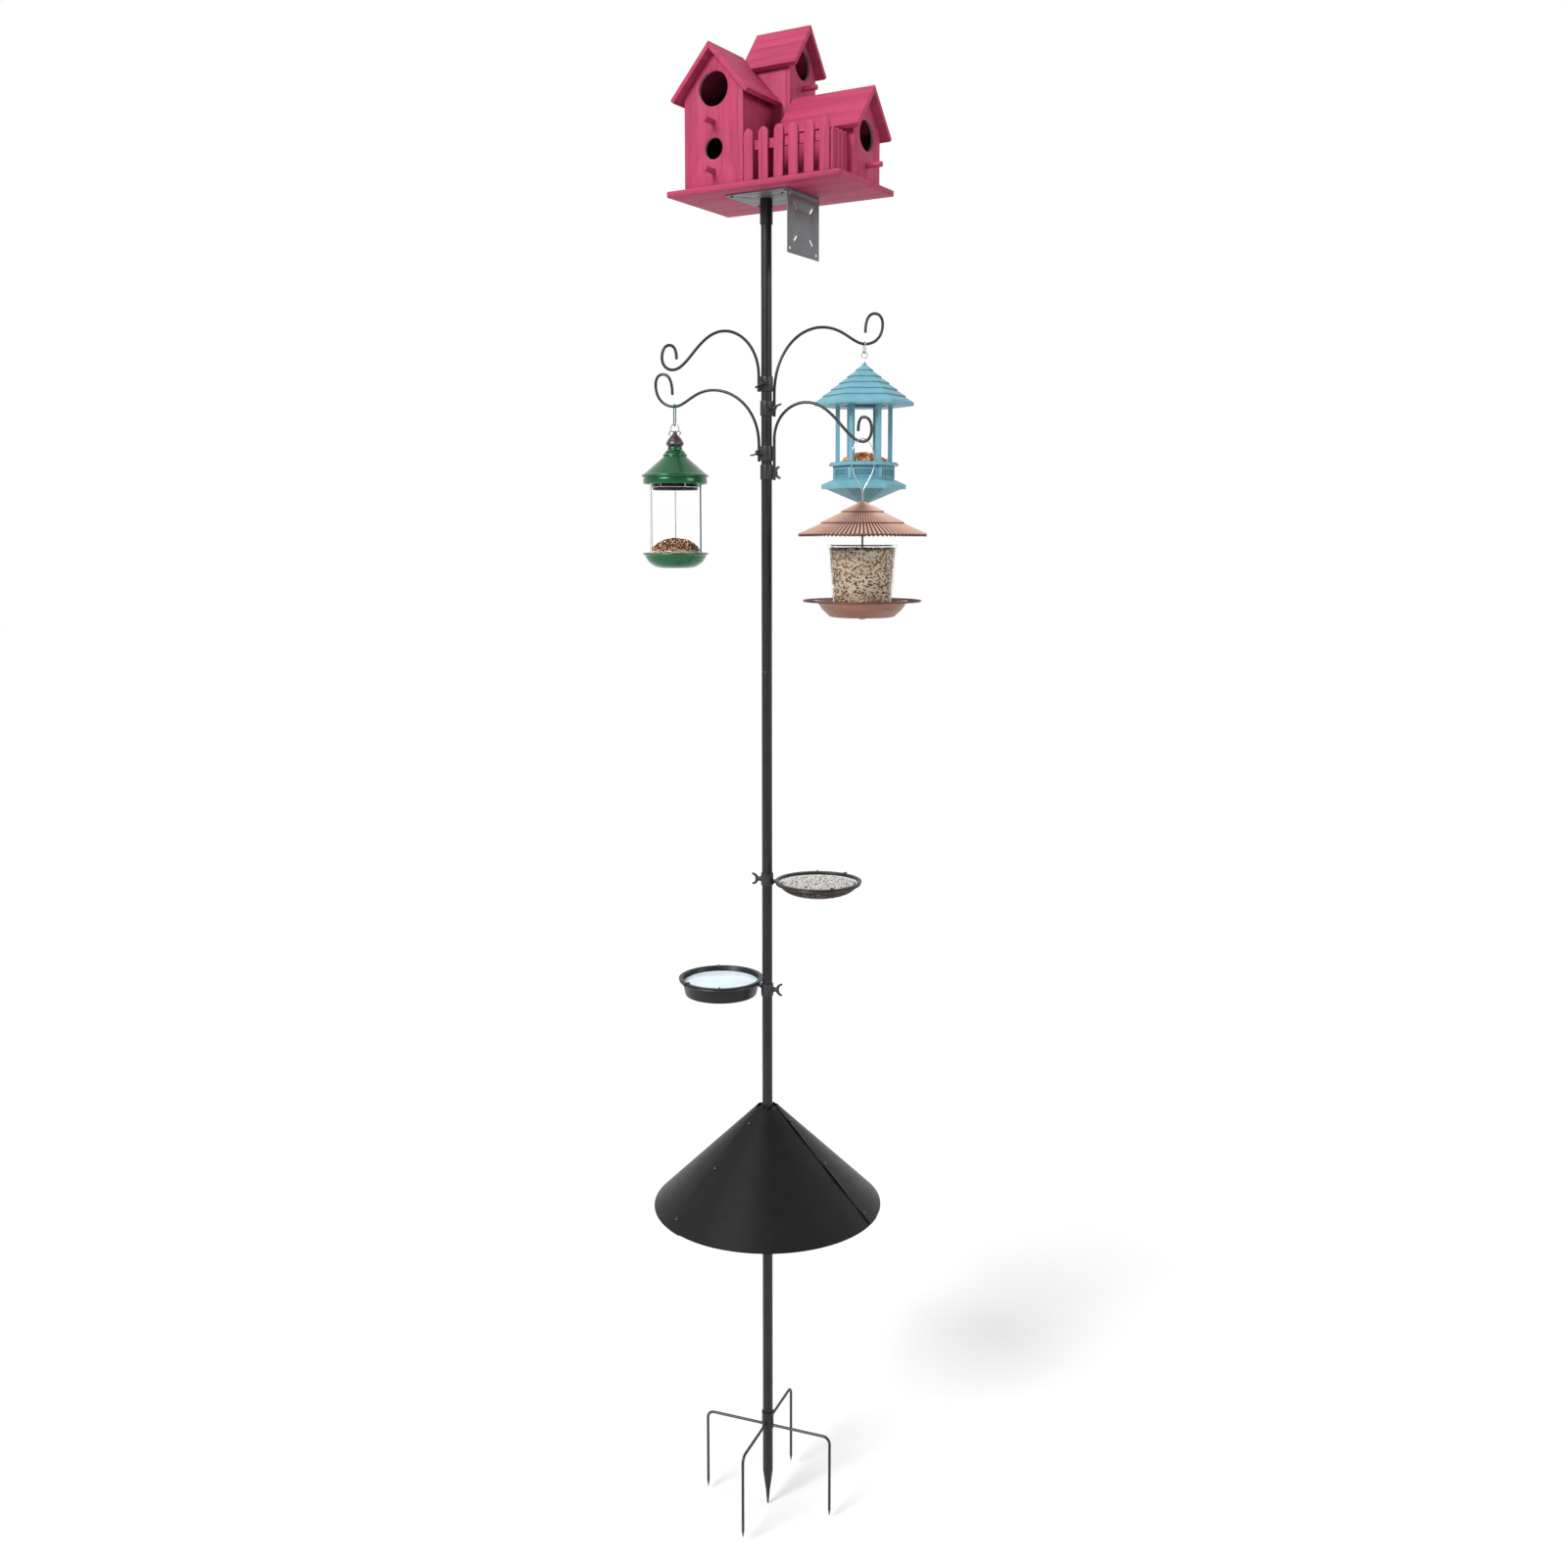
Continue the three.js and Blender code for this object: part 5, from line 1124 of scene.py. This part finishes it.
def make_blue_feeder():
    at = saddle_of("upper_right")
    link("blue_link", "blue_link", "blue_hanger_link", at, 18, "bright_wire")
    middle = ring_middle(18, 6.5, 1.2)
    mesh = upright_ring(bmesh.new(), 6.5, 1.2, middle)
    tube(mesh, [(0, 0, middle - 6.5), (0, 0, -40), (0, 0, -57)], 1.5, 12)
    revolve(mesh, eased([(0, -37.5), (3, -37.6), (5.5, -39), (6, -41), (0, -41)], 0.4), 32)
    settle(shaped("blue_screw_eye", mesh, 45), "blue_feeder", "bright_wire", "blue_eye", at=at)
    low_eave = foot_of("blue_roof") + 8
    for name, node, ease in (
        ("blue_shingled_roof", "blue_roof", 0.35), ("blue_gallery", "blue_post_frame", 0.7),
        ("blue_box", "blue_tray", 0.6), ("blue_skirt", "blue_base", 0.8),
    ):
        settle(shaded(refined(name, node, ease), low_eave), "blue_feeder", "blue_wood", node)

    upright = at @ spun(-HOOKS["upper_right"]["azimuth"])
    apothem = math.cos(math.radians(30))
    for i in range(6):
        face = upright @ spun(30 + 60 * i)
        onto = face @ moved(63.5 * apothem, z=-265.5) @ spun(90, "Y")
        panel = [(-8.5, -24), (8.5, -24), (8.5, 24), (-8.5, 24)]
        raised = [(-6.2, -21.5), (6.2, -21.5), (6.2, 21.5), (-6.2, 21.5)]
        framed = prism("blue_panel_%d" % (i + 1), panel, 2.4, [raised], 0.4)
        settle(framed, "blue_feeder", "blue_wood", at=onto)
        # a darker blue plate in each panel's recess paints the recess's shade
        field = prism("blue_field_%d" % (i + 1), raised, 0.8, ease=0.2)
        settle(field, "blue_feeder", "blue_painted_shade", at=onto)
        corner = upright @ spun(60 * i) @ moved(62.6, z=-278)
        section = [(-2.6, -3.6), (1.9, -3.6), (1.9, 3.6), (-2.6, 3.6)]
        pilaster = prism("blue_pilaster_%d" % (i + 1), section, 25)
        settle(pilaster, "blue_feeder", "blue_wood", at=corner)
    bead = [(70.4, -252), (72.6, -250.5), (72.6, -246.8), (70.4, -245.4), (68, -246), (68, -251)]
    lip = lathe("blue_rail_bead", eased(bead, 0.5, closed=True), 6, closed=True)
    settle(lip, "blue_feeder", "blue_wood", at=upright)

    rng = random.Random(19)
    mound = lambda r: -243 + 17 * (1 - (r / 47) ** 2)
    core = [(r, mound(r) - 2.5) for r in (0, 15, 30, 40, 45)] + [(45, -272), (0, -272)]
    settle(lathe("blue_seed_core", core, 48), "blue_feeder", "seed_chips", at=upright)
    spots = on_disc(rng, 46, mound, SEEDS["blue"])
    settle(scattered("blue_seed_heap", spots, rng, 13, 7.5), "blue_feeder", "seed_chips", at=upright)


# ---------------------------------------------------------------- copper feeder

def copper_dome():
    """Three lapped tiers of fine ribs, the last one ending in a toothed rim."""
    apex, bore = -118.5, 3.4
    tiers = ((43, -139), (84, -161.5), (129, -184))
    profile = [(bore, apex)]
    for i, (r, z) in enumerate(tiers):
        r0, z0 = profile[-1]
        for k in range(1, 7):
            share = k / 6
            profile.append((r0 + (r - r0) * share, z0 + (z - z0) * share))
        if i < 2:
            profile.append((r - 0.6, z - 2.4))
    rim_r, rim_z = tiers[-1]
    profile += [(rim_r + 0.3, rim_z - 1.6), (rim_r - 0.6, rim_z - 3.5)]
    for r, z in reversed(tiers[:-1]):
        profile.append((r - 1.5, z - 4.6))
    profile.append((bore, apex - 2.2))
    wave = lambda angle, radius: 1.5 * min(1.0, radius / 48) * math.cos(RIBS * angle)
    dome = lathe("copper_ribbed_roof", profile, RIBS * 6, closed=True, wave=wave)
    for look in ("copper_ribs", "copper_dark"):
        dome.data.materials.append(LOOKS[look])
    # faces turned down or sideways get dark copper as painted shade under the tiers
    for face in dome.data.polygons:
        if face.normal.z < 0.25:
            face.material_index = 1
    return dome


def make_copper_feeder():
    at = saddle_of("lower_right")
    twist = at @ spun(35)
    half, widest, vertex = 24, -42, -100.5
    top = HOOK_WIRE_R + GAP + 2.5
    mesh = bmesh.new()
    for side in (-1, 1):
        over, wide, low = (-side * 0.8, top), (side * half, widest), (0, vertex - 2)
        run = [
            (over, (side * half * 0.75, top), (side * half, widest * 0.45), wide),
            (wide, (side * half, widest * 1.6), (side * 2, vertex * 0.86), low),
        ]
        tube(mesh, [(p[0], 0, p[1]) for p in bezier_run(run, 16)], 1.0, 10)
    tube(mesh, [(0, 0, -97.5), (0, 0, -110), (0, 0, -122.5)], 1.2, 10)
    for k in range(5):
        revolve(mesh, torus_profile(1.7, 0.7, -99 - 1.5 * k, 8), 20, closed=True)
    settle(shaped("copper_wire_bail", mesh, 60), "copper_feeder", "bright_wire", "copper_bail", at=twist)
    settle(copper_dome(), "copper_lid", "copper_ribs", "copper_roof", at=at)

    mesh = bmesh.new()
    tube(mesh, [(0, 0, z) for z in (-355, -300, -200, -123)], 2.0, 14)
    revolve(mesh, eased([(0, -125.7), (2, -125.7), (8, -127.5), (8, -127.9), (0, -127.9)], 0.3), 36)
    knob = [(2, -231.5), (5.5, -233), (7.8, -237), (8, -241), (6.8, -245), (4, -247.6), (2, -248)]
    revolve(mesh, eased(knob, 0.8, closed=True), 40, closed=True)
    revolve(mesh, eased([(0, -355.3), (6.6, -355.3), (7, -351.3), (0, -351.3)], 0.4), 6)
    settle(shaped("copper_centre_rod", mesh, 40), "copper_feeder", "dark_metal", "copper_rod", at=at)

    top_r, base_r, wall = 70.4, 57, 2
    hopper = [
        (base_r - wall, -344), (base_r, -344), (top_r - 0.4, -210), (top_r + 0.6, -208),
        (top_r + 0.6, -205.6), (top_r, -205), (top_r - wall, -205),
    ]
    clear = lathe("copper_clear_hopper", eased(hopper, 0.5, closed=True), 128, closed=True)
    settle(clear, "copper_feeder", "hopper_plastic", "copper_hopper", at=at)

    tray = bmesh.new()
    dish = [
        (2.3, -351), (60, -351), (66, -349.5), (82, -334), (89, -322.5), (91, -321), (92.2, -318.8),
        (91, -317), (88.6, -317), (86, -321.5), (79, -333), (64.5, -347.4), (60, -348.4), (2.3, -348.4),
    ]
    revolve(tray, eased(dish, 0.9, closed=True), 128, closed=True)
    settle(shaped("copper_dish", tray, 40), "copper_feeder", "copper_paint", "copper_tray", at=at)
    tray = revolve(bmesh.new(), torus_profile(118, 1.9, -318), 128, closed=True)
    for i in range(4):
        angle = math.radians(25 + 90 * i)
        strut = ((89, -320), (96, -318.6), (106, -318.4), (117, -318.2))
        tube(tray, [around(r, angle, z) for r, z in strut], 1.7, 12)
    settle(shaped("copper_perch_ring", tray, 40), "copper_feeder", "copper_dark", at=at)

    rng = random.Random(5)
    inner = lambda z: base_r - wall + (top_r - base_r) * (z + 344) / 139
    level = -213
    core = [(0, -348), (inner(-344) - 3, -347), (inner(level) - 3.2, level - 3), (0, level - 3)]
    settle(lathe("copper_seed_core", core, 64), "copper_feeder", "seed_mixed", at=at)
    spots = []
    for _ in range(SEEDS["hopper"]):
        z = rng.uniform(-345, level)
        angle = rng.uniform(0, TAU)
        r = inner(z) - 2.9 + rng.uniform(-0.7, 0.5)
        spots.append(around(r, angle, z))
    crown = lambda r: level + rng.uniform(-1, 2.5)
    spots += on_disc(rng, inner(level) - 3.5, crown, SEEDS["hopper_top"])
    settle(scattered("copper_seed_fill", spots, rng, 7.4, 4.4), "copper_feeder", "seed_mixed", at=at)
    spill = []
    for _ in range(SEEDS["spill"]):
        r = rng.uniform(58.5, 82)
        angle = rng.uniform(0, TAU)
        floor = -346.5 + max(0.0, r - 64) * 0.82
        heap = 1 - (r - 58) / 26
        spill.append(around(r, angle, floor + 2 + rng.uniform(0, 5) * heap))
    settle(scattered("copper_seed_spill", spill, rng, 8.2, 5.0), "copper_feeder", "seed_mixed", at=at)


# ---------------------------------------------------------------- socket and bracket

def plate_holes(width, height):
    """A small hole and a slanting slot in each of a plate's corners."""
    p = PLATE
    loops = []
    for right in (0, 1):
        for up in (0, 1):
            way = (-1 if right else 1, -1 if up else 1)
            spot = [right * width + way[0] * p["inset"], up * height + way[1] * p["inset"]]
            loops.append(arc(p["hole"], 0, 345, 23, spot))
            middle = [right * width + way[0] * p["slot"], up * height + way[1] * p["slot"]]
            lean = math.degrees(math.atan2(way[1], way[0]))
            ends = []
            for end in (1, -1):
                centre = [middle[axis] + end * 6 * way[axis] / math.sqrt(2) for axis in (0, 1)]
                start = lean - 90 if end > 0 else lean + 90
                ends += arc(2.5, start, start + 180, 10, centre)
            loops.append(ends)
    return loops


def house_frame(x=0.0, y=0.0, z=0.0):
    return spun(HOUSE_TURN) @ moved(x, y, z)


def make_bracket():
    p = PLATE
    low, high = foot_of("top_socket"), top_of("top_socket")
    profile = band(12.95, COLLAR_BORE, low, high, 0.5)
    settle(lathe("socket_tube", profile, 64, closed=True), "house", "pole_steel", "top_socket")
    top = top_of("top_bracket")
    half = p["v"] / 2
    flat = prism("bracket_flat", oblong(p["u"], p["v"]), p["thick"], plate_holes(p["u"], p["v"]), 0.3)
    at = house_frame(p["right"] - p["u"], -half, top - p["thick"])
    settle(flat, "house", "bracket_steel", "top_bracket", at=at)
    leg = prism("bracket_leg", oblong(p["v"], p["drop"]), p["leg"], plate_holes(p["v"], p["drop"]), 0.3)
    upright = Matrix(((0, 0, 1, 0), (1, 0, 0, 0), (0, 1, 0, 0), (0, 0, 0, 1)))
    at = house_frame(p["right"] - p["leg"], -half, top - p["drop"]) @ upright
    settle(leg, "house", "bracket_steel", at=at)
    for k, (right, back) in enumerate(((0, 0), (1, 0), (1, 1), (0, 1))):
        x = p["right"] - p["u"] + (p["u"] - p["inset"] if right else p["inset"])
        y = -half + (p["v"] - p["inset"] if back else p["inset"])
        at = house_frame(x, y, top - p["thick"]) @ spun(180, "X")
        pan_screw("bracket_screw_%d" % (k + 1), "house", at, 4.0, 2.4)


# ---------------------------------------------------------------- birdhouse

BOARD_TOP = top_of("base_board")
ORIGIN = house_frame(BOARD["shift"][0] - BOARD["u"] / 2, BOARD["shift"][1] - BOARD["v"] / 2, BOARD_TOP)


def axes(origin, x, y):
    """A frame in a house's own millimetres from its origin and its X and Y directions."""
    x, y = Vector(x).normalized(), Vector(y).normalized()
    z = x.cross(y)
    matrix = Matrix((x, y, z)).transposed().to_4x4()
    matrix.translation = Vector(origin) * MM
    return matrix


def paint_inside(board, holes=()):
    """The board's inner face is bare wood painted dark as the shade inside the house, and its doorways' rims
    are pale cut wood.
    """
    for look in ("wood_up", "wood_inside_shade", "wood_cut"):
        board.data.materials.append(LOOKS[look])
    for face in board.data.polygons:
        # inward faces: dark wood as painted shade
        if face.normal.z < -0.7:
            face.material_index = 1
        elif face.normal.z < 0.9:
            middle = face.center.xy / MM
            if any((middle - Vector(c)).length < r + 1.2 for c, r in holes):
                face.material_index = 2


def gable(half, apex, rise):
    eave = apex - half * rise
    return [(-half, 0), (half, 0), (half, eave), (0, apex), (-half, eave)]


def make_house(prefix, node, h, at, width, depth, perch_nodes, roof_nodes):
    """A gabled house; at is its door's middle, X across the door, Y inwards and Z up."""
    slope = math.radians(h["slope"])
    rise = math.tan(slope)
    apex = h["ridge"] - ROOF / math.cos(slope) - 2 * GAP
    half = width / 2
    doors = [((0, w), r) for w, r in h["doors"]]
    loops = [arc(r, 0, 356, 63, c) for c, r in doors]
    front = prism(prefix + "_front_wall", gable(half, apex, rise), WALL, loops, 0.8)
    paint_inside(front, doors)
    settle(front, "house", "wood_up", node + "_walls", at=at @ axes((0, WALL, GAP), (1, 0, 0), (0, 0, 1)))
    back = prism(prefix + "_back_wall", gable(half, apex, rise), WALL, ease=0.8)
    paint_inside(back)
    settle(back, "house", "wood_up", at=at @ axes((0, depth - WALL, GAP), (-1, 0, 0), (0, 0, 1)))
    length = depth - 2 * WALL - 0.4
    for name, side in (("left", -1), ("right", 1)):
        wall = prism("%s_%s_wall" % (prefix, name), oblong(length, apex - half * rise), WALL, ease=0.8)
        paint_inside(wall)
        x = side * (half - WALL)
        y = WALL + 0.2 if side > 0 else depth - WALL - 0.2
        settle(wall, "house", "wood_up", at=at @ axes((x, y, GAP), (0, side, 0), (0, 0, 1)))
    tilt = ROOF * math.sin(slope)
    drop = ROOF * math.cos(slope)
    for side, roof_node in zip((-1, 1), roof_nodes):
        line = lambda x: h["ridge"] - abs(x) * rise
        start, end = GAP / 2, h["span"]
        section = [
            (side * start, line(start)), (side * end, line(end)), (side * (end - tilt), line(end) - drop),
            (side * start, line(start) - ROOF / math.cos(slope)),
        ]
        run = depth + h["over"] + h["back"]
        roof = prism(roof_node + "_board", section, run, ease=0.7)
        place = at @ axes((0, -h["over"] + run, 0), (1, 0, 0), (0, 0, 1))
        settle(roof, "house", "wood_deep", roof_node, at=place)
    for w, perch in zip(h["perches"], perch_nodes):
        dowel = [(0, -6.5), (DOWEL_R, -6.5), (DOWEL_R, 33), (0, 34)]
        piece = lathe(perch + "_dowel", eased(dowel, 1.2), 36)
        out = at @ moved(z=w) @ spun(90, "X")
        settle(piece, "house", "wood_deep", perch, at=out)


def make_houses():
    t = TALL
    at = ORIGIN @ moved((t["u0"] + t["u1"]) / 2, t["v0"])
    make_house(
        "tall", "tall_house", t, at, t["u1"] - t["u0"], t["v1"] - t["v0"],
        ("tall_house_perch_upper", "tall_house_perch_lower"),
        ("tall_house_roof_left", "tall_house_roof_right"),
    )
    for prefix, node, h in (("tower", "tower", TOWER), ("small", "small_house", SMALL)):
        middle = (h["v0"] + h["v1"]) / 2
        at = ORIGIN @ moved(h["u1"], middle) @ spun(90)
        make_house(
            prefix, node, h, at, h["v1"] - h["v0"], h["u1"] - h["u0"], (node + "_perch",),
            (node + "_roof_front", node + "_roof_back"),
        )


def picket(name, width, height):
    half = width / 2
    near = height - 2.2
    far = height - 9
    outline = [
        (-half, GAP), (half, GAP), (half, far), (half * 0.55, near), (0, height), (-half * 0.55, near),
        (-half, far),
    ]
    return prism(name, eased(outline, 3, closed=True), FENCE["thick"], ease=0.9)


def make_fence():
    f = FENCE
    rng = random.Random(3)
    for i in range(f["count"]):
        u = f["start"] + 2 + f["picket"] / 2 + i * f["pitch"]
        piece = picket("picket_front_%d" % (i + 1), f["picket"], f["height"] + rng.uniform(-2.5, 0))
        lean = spun(rng.uniform(-0.8, 0.8))
        nodes = ("picket_fence",) if i == 0 else ()
        at = ORIGIN @ axes((u, f["v"] + f["thick"], 0), (1, 0, 0), (0, 0, 1)) @ lean
        settle(piece, "house", "wood_up", *nodes, at=at)
    for i in range(f["side_count"]):
        v = f["v"] + f["thick"] + f["side_picket"] / 2 + i * f["side_pitch"]
        piece = picket("picket_side_%d" % (i + 1), f["side_picket"], f["side_height"] - rng.uniform(0, 2))
        at = ORIGIN @ axes((f["end"] - f["thick"], v, 0), (0, 1, 0), (0, 0, 1))
        settle(piece, "house", "wood_up", at=at)
    long = f["end"] - f["thick"] - f["start"]
    short = f["side_pitch"] * f["side_count"] - 2
    for name, length, start, along in (
        ("front", long, (f["start"], f["v"] + 2 * f["thick"], f["rail"]), (1, 0, 0)),
        ("side", short, (f["end"] - 2 * f["thick"], f["v"] + f["thick"], f["rail"]), (0, 1, 0)),
    ):
        rail = prism("fence_rail_" + name, oblong(length, f["rail_height"]), f["thick"], ease=0.7)
        settle(rail, "house", "wood_u", at=ORIGIN @ axes(start, along, (0, 0, 1)))


def make_base_board():
    b = BOARD
    board = prism("base_plank", oblong(b["u"], b["v"]), b["thick"], ease=1.2)
    settle(board, "house", "wood_u", "base_board", at=ORIGIN @ moved(z=-b["thick"]))


# ---------------------------------------------------------------- assembly

make_camera()
make_floor()
make_light()
make_pole()
make_stake()
make_prongs()
make_baffle()
make_dish()
make_tray()
make_hooks()
make_green_feeder()
make_blue_feeder()
make_copper_feeder()
make_bracket()
make_base_board()
make_houses()
make_fence()
